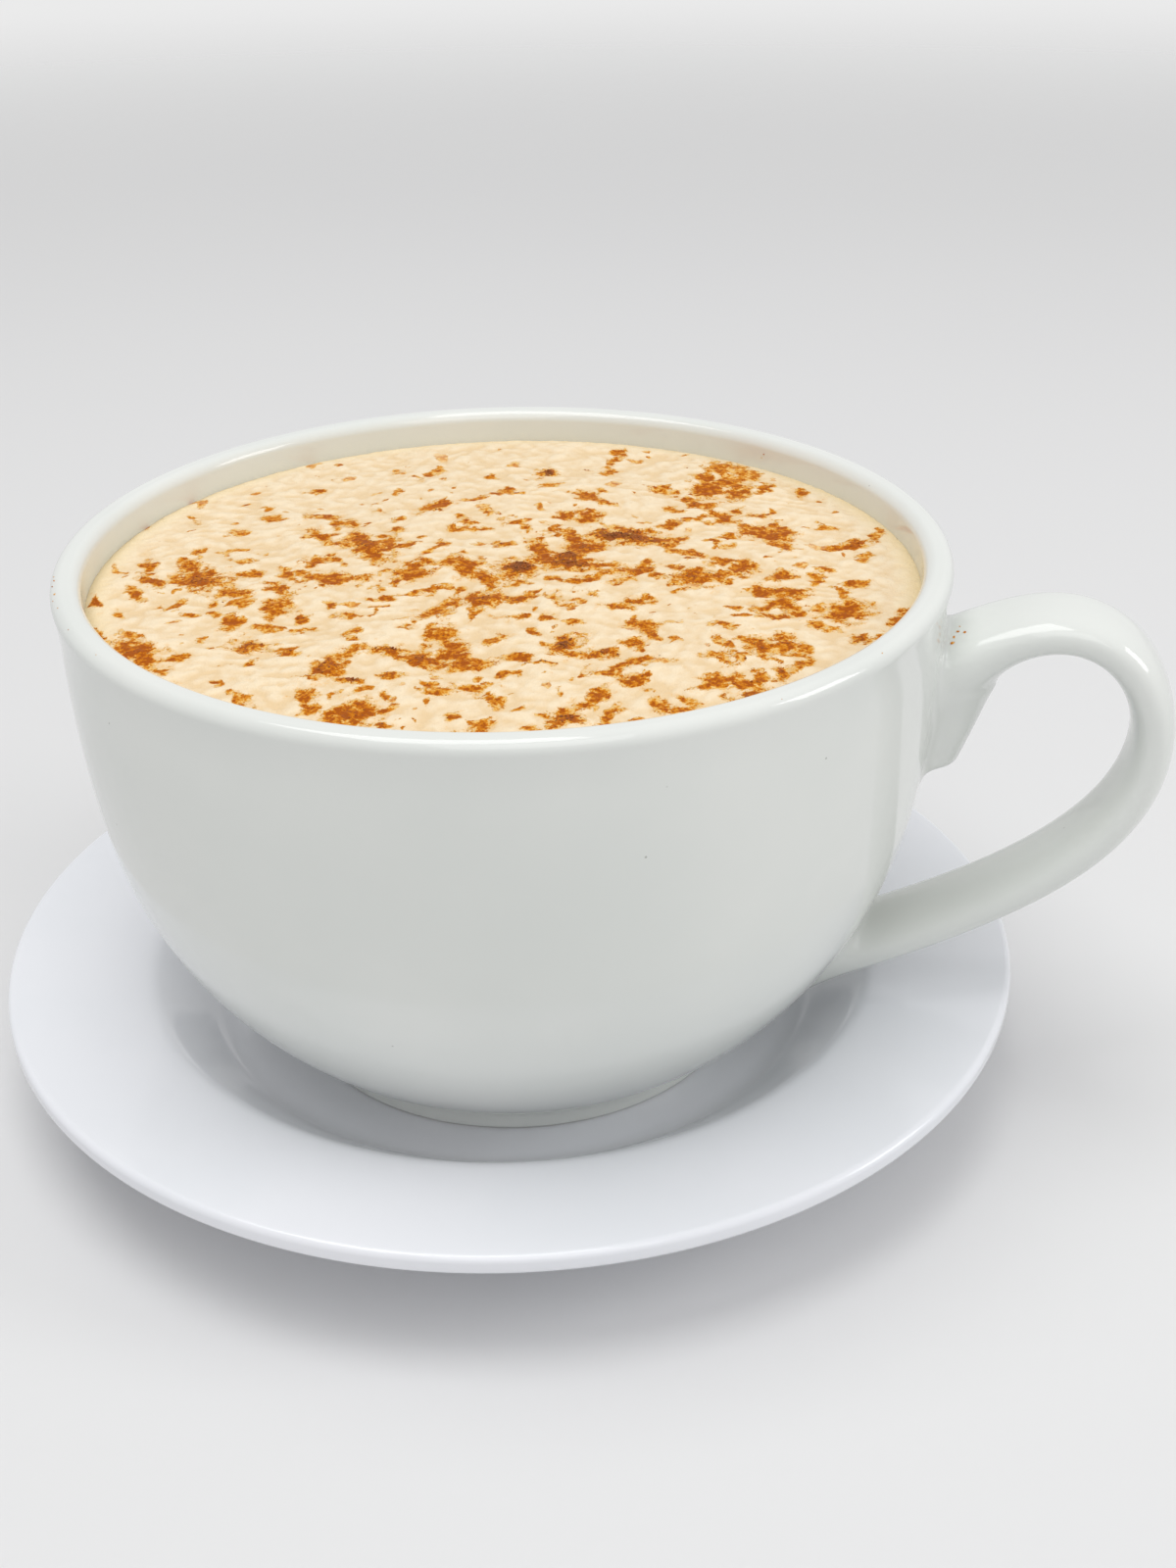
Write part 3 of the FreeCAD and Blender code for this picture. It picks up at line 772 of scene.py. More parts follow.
def new_effect(name: str, inputs: dict[str, float | Colour],
               outputs: dict[str, Socket]) -> tuple[Wiring, dict[str, bpy.types.NodeSocket], bpy.types.Node]:
    """An empty node group with named inputs and outputs.

    Args:
        name: The group's name.
        inputs: Each input's name with its starting value, a number or a colour.
        outputs: Each output's name with what it carries.

    Returns:
        The group's wiring, its inputs by name, and the node that its outputs go to.
    """
    tree = bpy.data.node_groups.new(name, "ShaderNodeTree")
    for label, value in inputs.items():
        kind = Socket.COLOUR if isinstance(value, tuple) else Socket.VALUE
        socket = tree.interface.new_socket(name=label, in_out="INPUT", socket_type=kind.value)
        socket.default_value = value
    for label, kind in outputs.items():
        tree.interface.new_socket(name=label, in_out="OUTPUT", socket_type=kind.value)
    wiring = Wiring(tree)
    entry = wiring.add("NodeGroupInput")
    leave = wiring.add("NodeGroupOutput")
    return wiring, {label: entry.outputs[label] for label in inputs}, leave


def make_glaze_skin() -> bpy.types.NodeTree:
    """The skin of a fired glaze: slow changes of tint, faint ripples, pin marks and rougher patches.

    Returns:
        The node group, with outputs Colour, Roughness and Height.
    """
    wiring, given, leave = new_effect(
        "glaze_skin",
        {"Tint": (0.7, 0.7, 0.7, 1.0), "Thin Tint": (0.65, 0.65, 0.65, 1.0), "Roughness": 0.1, "Marks": 0.5},
        {"Colour": Socket.COLOUR, "Roughness": Socket.VALUE, "Height": Socket.VALUE})
    where = wiring.place()
    slow = wiring.noise(where, 28, 3.0)
    ripple = wiring.noise(where, 130, 1.0)
    fine = wiring.noise(where, 1400, 1.0)
    tint = wiring.blend(wiring.ramp(slow, 0.3, 0.7), given["Tint"], given["Thin Tint"])
    cells = wiring.add("ShaderNodeTexVoronoi", {"Vector": where, "Scale": 190.0})
    chosen = wiring.ramp(cells.outputs["Color"], 0.70, 0.74)
    pin = wiring.reckon(wiring.ramp(cells.outputs["Distance"], 0.035, 0.02), Sum.TIMES, chosen)
    mark = wiring.reckon(pin, Sum.TIMES, given["Marks"])
    speck = paint(120, 116, 106)
    rough = wiring.reckon(given["Roughness"], Sum.PLUS, wiring.ramp(slow, 0.4, 0.8, 0.0, 0.05))
    rippled = wiring.reckon(ripple, Sum.PLUS, wiring.reckon(fine, Sum.TIMES, 0.04))
    wiring.feed(leave, Colour=wiring.blend(mark, tint, speck),
                Roughness=wiring.reckon(rough, Sum.PLUS, wiring.reckon(mark, Sum.TIMES, 0.3)),
                Height=wiring.reckon(rippled, Sum.MINUS, mark))
    return wiring.tree


def make_spice_grain() -> bpy.types.NodeTree:
    """Soaked ground spice: amber where thin, orange where thick, brown and crumbly where dry.

    Returns:
        The node group, with outputs Colour and Height.
    """
    wiring, given, leave = new_effect("spice_grain", {"Thickness": 0.5, "Dryness": 0.0},
                                      {"Colour": Socket.COLOUR, "Height": Socket.VALUE})
    where = wiring.place()
    crumb = wiring.noise(where, 1700, 3.0, 0.6)
    patch = wiring.noise(where, 750, 2.0)
    thick = wiring.reckon(given["Thickness"], Sum.PLUS, wiring.ramp(crumb, 0.32, 0.68, -0.42, 0.38))
    thick = wiring.reckon(thick, Sum.PLUS, wiring.ramp(patch, 0.35, 0.65, -0.22, 0.22))
    straw, amber = paint(236, 192, 118), paint(221, 156, 56)
    orange, rust = paint(204, 120, 6), paint(166, 82, 0)
    brown, tan = paint(96, 50, 20), paint(160, 88, 34)
    thin = wiring.blend(wiring.ramp(thick, 0.0, 0.3), straw, amber)
    wet = wiring.blend(wiring.ramp(thick, 0.25, 0.6), thin, orange)
    wet = wiring.blend(wiring.ramp(thick, 0.6, 1.05), wet, rust)
    crumbly = wiring.blend(wiring.ramp(crumb, 0.35, 0.65), brown, tan)
    dryness = wiring.reckon(given["Dryness"], Sum.PLUS, wiring.ramp(crumb, 0.2, 0.8, -0.35, 0.35))
    wiring.feed(leave, Colour=wiring.blend(wiring.ramp(dryness, 0.35, 0.75), wet, crumbly), Height=crumb)
    return wiring.tree


def new_material(name: str, look: Colour) -> tuple[bpy.types.Material, Wiring, bpy.types.Node]:
    """A node material with a bare shader.

    Args:
        name: The material's name.
        look: Its colour in plain views.

    Returns:
        The material, its wiring and its Principled BSDF.
    """
    material = bpy.data.materials.new(name)
    material.use_nodes = True
    material.diffuse_color = look
    wiring = Wiring(material.node_tree)
    return material, wiring, material.node_tree.nodes["Principled BSDF"]


@dataclass(frozen=True)
class Glaze:
    """A glossy white glaze on porcelain."""

    name: str
    tint: Colour
    thin_tint: Colour
    roughness: float = 0.07
    marks: float = 0.5
    relief: float = 0.012 * MM

    def material(self, skin: bpy.types.NodeTree) -> bpy.types.Material:
        """The glaze as a material.

        Args:
            skin: The glaze's node group.

        Returns:
            The material.
        """
        material, wiring, shader = new_material(self.name, self.tint)
        group = wiring.add("ShaderNodeGroup", node_tree=skin)
        for label, value in (("Tint", self.tint), ("Thin Tint", self.thin_tint),
                             ("Roughness", self.roughness), ("Marks", self.marks)):
            group.inputs[label].default_value = value
        wiring.feed(shader, Base_Color=group.outputs["Colour"], Roughness=group.outputs["Roughness"],
                    Normal=wiring.bump(group.outputs["Height"], self.relief))
        shader.inputs["IOR"].default_value = 1.52
        return material


@dataclass(frozen=True)
class Bisque:
    """The bare ground clay of a foot ring."""

    name: str
    tint: Colour = paint(214, 208, 196)
    worn_tint: Colour = paint(186, 179, 166)
    relief: float = 0.05 * MM

    def material(self) -> bpy.types.Material:
        """The bare clay as a material.

        Returns:
            The material.
        """
        material, wiring, shader = new_material(self.name, self.tint)
        grain = wiring.noise(wiring.place(), 2200, 4.0, 0.6)
        wiring.feed(shader, Base_Color=wiring.blend(wiring.ramp(grain, 0.35, 0.7), self.tint, self.worn_tint),
                    Roughness=wiring.ramp(grain, 0.3, 0.7, 0.7, 0.9), Normal=wiring.bump(grain, self.relief))
        return material


@dataclass(frozen=True)
class FoamFinish:
    """Milk foam with the spice that has soaked into it."""

    name: str = "milk_foam"
    cream: Colour = paint(240, 217, 181)
    # Painted shade for the foam's hollows, also the tone of its random curd mottling.
    shade: Colour = paint(234, 206, 163)
    # Painted highlight for the foam's raised puffs.
    puff: Colour = paint(244, 225, 193)
    rim: Colour = paint(236, 216, 174)
    halo: Colour = paint(238, 192, 128)
    hole: Colour = paint(176, 140, 96)
    relief: float = 0.15 * MM

    def material(self, spice: bpy.types.NodeTree) -> bpy.types.Material:
        """The foam as a material that reads the mesh's soak, depth, dry, rim and hollow values; its hollows
        take painted shade and its puffs a painted highlight.

        Args:
            spice: The spice's node group.

        Returns:
            The material.
        """
        material, wiring, shader = new_material(self.name, self.cream)
        where = wiring.place()
        soft = wiring.noise(where, 160, 3.0)
        curd = wiring.noise(where, 900, 3.0, 0.6)
        froth = wiring.noise(where, 3600, 2.0)
        # Painted shade in the hollows and a painted highlight on the puffs, taken from the relief, with soft
        # noise added as random mottling.
        hollow = wiring.reckon(wiring.spread("hollow"), Sum.PLUS, wiring.ramp(soft, 0.3, 0.7, -0.15, 0.15))
        cream = wiring.blend(wiring.ramp(hollow, -0.1, 0.9), self.cream, self.shade)
        cream = wiring.blend(wiring.ramp(hollow, 0.0, -0.8), cream, self.puff)
        # Random curd mottling in the painted shade's tone.
        cream = wiring.blend(wiring.ramp(curd, 0.5, 0.3, 0.0, 0.3), cream, self.shade)
        cream = wiring.blend(wiring.spread("rim"), cream, self.rim)
        ragged = wiring.reckon(wiring.ramp(curd, 0.3, 0.7, -0.2, 0.2), Sum.PLUS,
                               wiring.ramp(froth, 0.3, 0.7, -0.12, 0.12))
        soak = wiring.reckon(wiring.spread("soak"), Sum.PLUS, ragged)
        depth = wiring.spread("depth")
        halo = wiring.reckon(wiring.ramp(soak, -0.2, 0.24, 0.0, 0.7), Sum.TIMES, depth)
        cover = wiring.reckon(wiring.ramp(soak, 0.16, 0.36), Sum.TIMES, wiring.ramp(depth, 0.0, 0.6))
        thick = wiring.reckon(wiring.ramp(soak, 0.15, 0.9), Sum.TIMES, depth)
        group = wiring.add("ShaderNodeGroup", node_tree=spice)
        wiring.feed(group, Thickness=thick, Dryness=wiring.spread("dry"))
        colour = wiring.blend(cover, wiring.blend(halo, cream, self.halo), group.outputs["Colour"])
        holes = wiring.add("ShaderNodeTexVoronoi", {"Vector": where, "Scale": 420.0})
        chosen = wiring.ramp(holes.outputs["Color"], 0.86, 0.9)
        hole = wiring.reckon(wiring.ramp(holes.outputs["Distance"], 0.075, 0.04), Sum.TIMES, chosen)
        colour = wiring.blend(wiring.reckon(hole, Sum.TIMES, 0.6), colour, self.hole)
        rough = wiring.ramp(wiring.reckon(cover, Sum.PLUS, curd), 0.3, 1.5, 0.42, 0.6)
        pebbled = wiring.reckon(curd, Sum.PLUS, wiring.reckon(froth, Sum.TIMES, 0.35))
        pitted = wiring.reckon(pebbled, Sum.MINUS, hole)
        crumbs = wiring.reckon(wiring.reckon(group.outputs["Height"], Sum.TIMES, cover), Sum.TIMES, 0.8)
        height = wiring.reckon(pitted, Sum.PLUS, crumbs)
        wiring.feed(shader, Base_Color=colour, Roughness=rough, Normal=wiring.bump(height, self.relief))
        shader.inputs["IOR"].default_value = 1.36
        shader.inputs["Specular IOR Level"].default_value = 0.2
        return material


@dataclass(frozen=True)
class SpiceFinish:
    """Loose grains of ground spice."""

    name: str
    thickness: float
    dryness: float
    look: Colour = paint(170, 96, 36)
    relief: float = 0.05 * MM

    def material(self, spice: bpy.types.NodeTree) -> bpy.types.Material:
        """The grains as a material.

        Args:
            spice: The spice's node group.

        Returns:
            The material.
        """
        material, wiring, shader = new_material(self.name, self.look)
        group = wiring.add("ShaderNodeGroup", node_tree=spice)
        group.inputs["Thickness"].default_value = self.thickness
        group.inputs["Dryness"].default_value = self.dryness
        wiring.feed(shader, Base_Color=group.outputs["Colour"],
                    Normal=wiring.bump(group.outputs["Height"], self.relief))
        shader.inputs["Roughness"].default_value = 0.6
        shader.inputs["Specular IOR Level"].default_value = 0.3
        return material


@dataclass
class Cup:
    """The porcelain cup with its handle."""

    axis: Vector
    base: float
    wall: CupWall
    handle: Handle
    handle_turn: float = math.radians(-13.5)
    segments: int = 384
    bare_height: float = 0.3 * MM

    def build(self, glaze: bpy.types.Material, bisque: bpy.types.Material) -> bpy.types.Object:
        """Makes the cup.

        Args:
            glaze: The glaze all over.
            bisque: The bare clay under the foot ring.

        Returns:
            The cup.
        """
        parts = MeshParts()
        parts.turn(self.wall.profile(), self.axis, self.base, self.segments, self.bare_height)
        shell, skin = self.handle.shell()
        parts.add(self.place(shell), skin)
        return parts.build("cup_porcelain", [glaze, bisque], "cup", slot=Slot.CUP.value)

    def place(self, points: np.ndarray) -> np.ndarray:
        """Points of the handle's plane in the frame.

        Args:
            points: How far out, across and up from the cup's foot.

        Returns:
            The points in the frame.
        """
        c, s = math.cos(self.handle_turn), math.sin(self.handle_turn)
        return np.stack([self.axis.x + points[:, 0] * c - points[:, 1] * s,
                         self.axis.y + points[:, 0] * s + points[:, 1] * c,
                         self.base + points[:, 2]], axis=-1)


def round_corners(corners: tuple[tuple[float, float], ...], radii: tuple[float, ...],
                  step: float) -> np.ndarray:
    """A profile with each corner rounded by its own radius.

    Args:
        corners: The corners as radius and height, the first and the last kept sharp.
        radii: The radius at each corner.
        step: Longest distance between two points.

    Returns:
        Profile points.
    """
    points = np.array(corners)
    ends = [points[0]]
    arcs = []
    for before, corner, after, radius in zip(points, points[1:], points[2:], radii[1:]):
        back = (before - corner) / np.linalg.norm(before - corner)
        ahead = (after - corner) / np.linalg.norm(after - corner)
        half = math.acos(float(np.clip(back @ ahead, -1, 1))) / 2
        middle = (back + ahead) / np.linalg.norm(back + ahead)
        centre = corner + middle * radius / math.sin(half)
        start = corner + back * radius / math.tan(half) - centre
        end = corner + ahead * radius / math.tan(half) - centre
        first = math.atan2(start[1], start[0])
        sweep = (math.atan2(end[1], end[0]) - first + math.pi) % (2 * math.pi) - math.pi
        arcs.append(arc(tuple(centre), radius, first, first + sweep, min(step, radius / 6)))
        ends.append(arcs[-1])
    runs = []
    last = points[0]
    for bend in arcs:
        runs += [run(tuple(last), tuple(bend[0]), step), bend]
        last = bend[-1]
    runs.append(run(tuple(last), tuple(points[-1]), step))
    return join_runs(*runs)


@dataclass
class Saucer:
    """The saucer: a nearly flat rim with a squared edge, a round shoulder, a well and a foot ring."""

    axis: Vector
    radius: float = 71.49 * MM
    height: float = 16.6 * MM
    edge: float = 2.6 * MM
    edge_round: float = 0.9 * MM
    thick: float = 4.2 * MM
    well: float = 6.2 * MM
    crease: float = 42.2 * MM
    shoulder: tuple[float, float] = (51.7 * MM, 14.15 * MM)
    shoulder_round: float = 5 * MM
    crease_round: float = 6 * MM
    under_round: float = 5 * MM
    foot_out: float = 40 * MM
    foot_in: float = 36.5 * MM
    foot_round: float = 0.6 * MM
    nook_round: float = 0.3 * MM
    step: float = 1.5 * MM
    segments: int = 480
    bare_height: float = 0.2 * MM

    def build(self, glaze: bpy.types.Material, bisque: bpy.types.Material) -> bpy.types.Object:
        """Makes the saucer.

        Args:
            glaze: The glaze all over.
            bisque: The bare clay under the foot ring.

        Returns:
            The saucer.
        """
        under = self.well - self.thick
        crease = np.array([self.crease, self.well])
        shoulder = np.array(self.shoulder)
        wall = (shoulder - crease) / np.linalg.norm(shoulder - crease)
        skin = crease + np.array([wall[1], -wall[0]]) * self.thick
        knee = skin + wall * (shoulder[1] - self.thick - skin[1]) / wall[1]
        bend = skin + wall * (under - skin[1]) / wall[1]
        shaped = [
            ((0, under), 0), ((self.foot_in, under), self.nook_round), ((self.foot_in, 0), self.foot_round),
            ((self.foot_out, 0), self.foot_round), ((self.foot_out, under), self.nook_round),
            (tuple(bend), self.under_round), (tuple(knee), self.under_round),
            ((self.radius, self.height - self.edge), self.edge_round),
            ((self.radius, self.height), self.edge_round), (tuple(shoulder), self.shoulder_round),
            (tuple(crease), self.crease_round), ((0, self.well), 0)]
        corners, radii = zip(*shaped)
        parts = MeshParts()
        parts.turn(round_corners(corners, radii, self.step), self.axis, 0.0, self.segments, self.bare_height)
        return parts.build("saucer_porcelain", [glaze, bisque], "saucer", slot=Slot.SAUCER.value)


@dataclass(frozen=True)
class Blotch:
    """A patch of soaked spice: its place and size in millimetres, its turn in degrees, how deep, how dry."""

    x: float
    y: float
    length: float
    width: float
    turn: float
    depth: float
    dry: float = 0.0


BLOTCHES = [
    # The dark band across the middle.
    (16, 8, 8, 4.6, -10, 1, .9), (13, 9.5, 4, 2.4, 70, 1, .6), (20, 6, 4, 3, -20, 1, .6),
    (10.5, 4.5, 5, 4, 50, 1, .5), (9, 8.5, 5, 1.8, -70, .95), (8.5, 1.5, 4, 3, 60, 1, .7),
    (4.8, 4, 6.5, 2.4, -78, 1), (8, -1.2, 8, 3.6, -20, 1, .7), (12, -2.5, 4, 1.8, -10, .9),
    (16.3, -4, 4.5, 2.6, 20, .95, .3), (18.2, -2, 2.6, 1.2, 62, .85), (1.5, -2.5, 5.5, 4.3, 60, 1, .9),
    (-5, -2, 6, 3, -65, 1), (-2.5, -5.5, 5, 2.2, -58, .95), (-7.5, 0, 3, 1.4, -15, .9),
    (-12, -2.2, 5, 3, 75, .95), (-10.5, .8, 3, 1.3, -20, .85), (23.5, 6.5, 3, 1.2, 60, .85),
    (22.3, 3, 3.4, 1.2, -30, .6), (25, 1, 3.4, 1.4, -35, .8), (10, -7.5, 4.5, 1.8, 5, .9),
    (12.2, -6, 3, 1, 75, .8), (6.3, -6.7, 2.4, 1.1, -45, .85), (15.5, -7, 2.4, 1, 0, .7),
    (1, -8, 3, 1, 20, .75), (-2, -8.8, 1, 1, 0, .8, .8), (-.3, 6.3, 2, 1.5, 0, .7, .4),
    (-3.5, 6.8, 1.4, 1, 0, .5),
    # Left of the middle.
    (-18.5, 8, 8, 4, -55, 1, .4), (-17, 3.5, 4, 2.4, -60, .95), (-15.3, 7.5, 5.5, 2, 85, .95),
    (-13, 6.8, 3, 1.6, 15, .85), (-8.7, 6.5, 2.2, 1.4, 60, .9), (-10, 4, 2, .9, 40, .7),
    (-24.5, 2.8, 3.4, 2.4, 70, .9), (-22.2, 3, 3, 1.2, -75, .8), (-25, 12, 4.6, 1.8, -62, .9),
    (-21.8, 16.2, 2.6, 2.6, 0, 1), (-24.8, 19.5, 3.2, 1.8, -20, .9), (-28, -2, 3.8, 1.5, -75, .85),
    (-22.5, -3.4, 7, 2.8, -12, .92), (-26, -1.2, 1.6, 1.2, 0, .7), (-16, -1.5, 2, 1, 20, .6, .4),
    (-33, -.2, 2.5, 2.2, 0, .85), (-41, 3.5, 4.6, 2.3, -65, .95), (-39, -1.5, 6.5, 4.2, -50, 1, .5),
    (-42, -1.6, 3, 1.6, 0, .8), (-46.8, 4.5, 4.5, 1.7, -66, .8), (-46, -.8, 4.5, 1.9, -50, .9),
    (-47.3, -5, 3.2, 1.5, -60, .8), (-52, -6.3, 4, .9, -70, .95), (-50.5, 4, 3.6, .9, -68, .55),
    (-40.8, 9, 2.2, 1.5, 90, .65), (-35.5, 8.8, 2.6, 1.2, 0, .6), (-34.5, 4.5, 3, 1.1, -40, .65),
    (-31.7, 20, 3.4, 1.6, -30, .65), (-36, 15.5, 1.8, 1.5, 0, .55), (-35, -6.5, 4.5, 2.4, -25, .85),
    (-28.8, -6.5, 4.6, 2, -55, .8), (-42, -9.5, 2.8, 1.6, 40, .75), (-33, -10, 2.6, 1.8, 30, .65),
    (-28.3, -12.3, 4.2, 2.8, 90, .95), (-48, -11, 2, .8, -60, .6), (-39, -13, 1.6, 1.2, 0, .75),
    (-36, -13, 2, 1.2, -40, .7), (-33.8, -15.8, 4, 1.9, -75, .85), (-25, -15.5, 1.9, 1, 60, .8, .4),
    (-19.3, -15.2, 2.4, 1.9, 0, .8), (-29.2, -18, 2.4, 1.4, -30, .7), (-25, -19.2, 2.8, 1.2, 15, .7),
    (-18.7, -20.5, 2.2, 1.5, 60, .75), (-15.7, -13.4, 1.5, 1.1, 20, .85, .3), (-15, -11, 2, 1, -75, .8),
    (-16, -7.5, 2.4, 1, -60, .7), (-17.3, -10.6, 1.4, .8, -50, .7), (-22, -11.7, 1.6, 1.2, -50, .7),
    (-8.8, -8.2, 3.5, 1.3, 30, .9), (-12.5, -9.3, 2.2, 1, 20, .8), (-5.8, -8.5, 2, .9, 60, .7),
    (-8.5, -14.6, 7, 2.2, 52, .9), (-3, -12.3, 4, 3.2, 60, .9, .5), (-3.5, -16.3, 3, 1, 70, .7),
    (-46, -17.5, 3, 1.3, -30, .65), (-37, -20.5, 1.2, .8, 0, .6),
    # Front left.
    (-44.3, -22.8, 7, 3.3, -50, 1, .4), (-39, -24.5, 2.6, 1.5, 20, .75),
    (-30.8, -22.8, 4.2, 2.4, -15, .95, .6), (-26.3, -25.3, 3, 1.3, -20, .8, .3),
    (-30, -27.6, 1.6, 1.2, 20, .75), (-21, -29.8, 5, 2.8, 75, .95, .5), (-23, -32.7, 3, .6, -5, .7, .5),
    (-19, -26.5, 2.6, 1.5, 60, .75), (-18, -33.5, 1.9, 1.5, 10, .95, .8),
    (-13.5, -32.5, 1.8, 1.1, 0, .85, .4), (-30.5, -36.5, 3.5, 1.2, -50, .8), (-23.2, -38, 4, 1.9, -75, .9),
    (-22.5, -41, 2, 1.1, 0, .7), (-17.7, -41.8, 5.5, 4, 40, 1, .4), (-14.2, -41, 2, 1.3, 30, .85),
    (-14, -45, 2, 1.1, -15, .85, .3), (-14, -26, 5, 2.1, -15, .95, .7),
    (-10.5, -28.3, 5, 2.2, -25, .95, .5), (-8, -22, 4.5, 2.8, 80, .9), (-6.5, -27, 6, 2.8, -75, 1),
    (-6, -30.5, 4.5, 2.2, -10, .95), (-3.2, -30, 2.6, 2, 0, .85), (-1.5, -24, 2.8, 1.7, 30, .8),
    (1, -29, 3, 1.5, -20, .75), (3.5, -31, 3, .8, -15, .85, .4), (-8, -37, 3.4, 1.1, -10, .85, .3),
    (-9, -35.5, 2.6, .7, -50, .7), (-4.5, -36, 3.6, 1.7, 0, .85), (-2, -39.8, 2.6, 1.5, -75, .9),
    (-14.3, -37.5, 1.3, .9, 90, .8), (-17, -36, 1.2, .9, 0, .7), (-20, -37, 1.5, .9, 80, .6),
    (-6.2, -43.3, 1.9, 1.3, 60, .75), (-3.5, -45.7, 2.8, 2.2, 45, .95), (-34, -31.7, 1.2, .9, 0, .65),
    (-41, -28.5, 3.5, .8, -45, .8), (-49.4, -17.5, 5, .7, -62, .85, .5), (.3, -33.3, 1.2, .9, 20, .75),
    (1, -42.3, 1, .7, 0, .8), (2.5, -47.2, 2.2, 1.2, -25, .7),
    # Front right.
    (6.8, -26, 4.4, 2.8, 60, .95, .8), (8.3, -28.8, 4, 1.7, 0, .85, .3), (11, -28.3, 2.8, 2, 30, .9, .6),
    (1.5, -12.5, 3, 2.2, 10, .9, .4), (3.3, -10.8, 2, .6, 60, .8), (1.3, -18, 2, 1.4, -20, .75),
    (6, -13, 2.6, 1.8, -60, .85), (8.7, -13.6, 1.4, .8, 0, .6), (7.5, -15.3, 2, .8, 0, .7),
    (10.7, -12, 1.6, .9, -60, .7), (3.3, -22.2, 1.8, 1.1, -75, .75), (5.2, -18.8, 1.8, 1.1, -20, .8),
    (8, -20, 2.2, .8, 0, .8, .3), (13.3, -15.3, 3, 1.9, 10, .9), (16.3, -14, 3, 2, 40, .95),
    (15.3, -18.8, 2.2, 1.2, 60, .85), (16.6, -20.8, 3.4, 2.2, -20, .85), (17, -22.8, 3, 1.4, -80, .85),
    (14.8, -25.4, 2.4, 1.8, 20, .9), (16, -27.3, 1.1, .9, 0, .85), (19.7, -25, 1.6, .9, -40, .55),
    (13, -32.3, 3.4, 1.7, 60, .9), (15.2, -30.8, 2.6, 1.4, 25, .85), (11.3, -34.2, 3.2, 1.4, -35, .9),
    (14, -36.2, 3.4, 1.6, -20, .95, .3), (15.8, -35.3, 1.8, 1, 55, .9), (18, -31, 1.6, 1.1, 0, .5),
    (9, -40, 4.5, 1.7, 45, .95), (6, -44.7, 3.4, 2.8, 30, 1, .6), (3.8, -43.5, 1.4, .8, -30, .7),
    (11, -44, 4.5, 1.4, 68, .85), (13.8, -45.8, 2.2, .9, 20, .75), (17, -42.3, 3.2, 1.3, -70, .9),
    (18.7, -43, 3.2, 1.3, 10, .9), (19.8, -40.8, 3, 1.1, -45, .8), (22, -38, 2.6, 1.3, 25, .75),
    (24.3, -36, 3.6, 2.4, 20, .95), (27, -37.3, 3.4, 1.8, -30, .95, .3), (28.5, -35.6, 2.6, 1.9, -80, .7),
    (28, -40.5, 4, 2.4, 10, 1, .8), (31, -39.8, 4, 1, 25, 1, .4), (32.5, -38.3, 2.2, 1.2, 40, .85),
    (31.4, -34.6, 2.6, 1.9, 75, .95, .5), (34.3, -32, 3.2, 1.2, 55, .85), (24.8, -30.8, 3, 1.5, -50, .85),
    (27, -29.8, 2.2, 1.3, 0, .8), (29.8, -27.5, 4.8, 2.4, -70, .95, .4), (28.5, -25.8, 2, 1.2, 0, .75),
    (33.2, -26.8, 4, 2.6, -75, .95, .4), (35.3, -28.5, 2, 1, -60, .8), (25.5, -26.5, 3.4, .9, -68, .65),
    (5.8, -38.5, 1.2, .8, 80, .6),
    # Right.
    (24, -7.2, 4.6, 4, 0, 1, .4), (22.3, -3.3, 1.8, 1.5, 0, .85), (19.6, -6.5, 2, 1.5, 0, .8),
    (28.3, -1.8, 3.2, 2.2, 20, .95), (30.5, -4, 4.2, 2.1, 75, .95), (27.8, -5.8, 2.4, 1.7, 0, .9),
    (28.3, -8.4, 1.6, 1, 30, .8, .3), (21.7, -11.3, 1.8, 1, 30, .75, .4), (35.3, -6.7, 3.8, 2, 35, .85),
    (39.5, -7.2, 2.4, 1, 75, .75), (41.7, -4.2, 1.7, 1, 60, .75), (38.5, -3, 2, 1, 70, .5),
    (44.8, -9, 3, 1.9, 25, .75), (42.2, -11.8, 2.6, 1.3, -70, .7), (33.5, -11.5, 3.8, 2.8, -40, .95),
    (36.5, -12, 3, 2.4, 40, .95, .3), (32.3, -10, 2, .9, 0, .8), (32.3, -15.9, 4, 1.7, 50, .9),
    (34.9, -15.8, 3, 1.5, -40, .9), (35.6, -18, 2.4, 1.5, 60, .9), (33, -18.9, 3.4, 1.4, -15, .9),
    (38.3, -16.3, 3, 1.2, 30, .7), (41.8, -17.8, 5.2, 3.6, 50, .95), (28, -16.8, 2, 1, -60, .8),
    (29, -19, 2.4, .9, -20, .8), (25.8, -21.3, 2.6, 1.2, -60, .7), (38.3, -22, 2.8, 1.3, -25, .85, .3),
    (42, -25.4, 2.2, 1.7, 0, .9, .7), (48.5, -20, 5.2, 2.1, 60, 1, .5), (50.3, -17.3, 2.2, .8, 62, .9),
    (44.8, -24.8, 1.6, .6, 20, .7), (47, 0, 2.4, 1, 60, .6), (35.5, 8.5, 6, 4.2, -40, 1),
    (37.7, 9.5, 2.8, 2, 70, .95), (37, 3.8, 2.8, 1.5, -40, .85), (36.8, 11.8, 2.2, 1.2, 60, .85),
    (44.3, 3.2, 3.4, 1.5, 10, .9, .4), (47, 4.8, 4.5, 1.9, 38, .95, .4), (50, 7.8, 3.6, 1.4, 60, .85),
    (51.4, 10.3, 2, .9, 65, .6), (43.5, 11, 2, 1.5, 0, .65), (41.3, 4, 1.6, 1, 0, .4),
    (29.8, 7.5, 1.7, 1.3, 60, .85), (27.8, 5.7, 1.7, 1.2, 0, .9), (29.6, 4, 1.9, 1.3, 50, .85),
    # Far side.
    (30, 15, 3.8, 2.2, -65, .95), (32.3, 17.5, 2.4, 1.2, 60, .8), (32.5, 11.5, 3, 1.6, -50, .9),
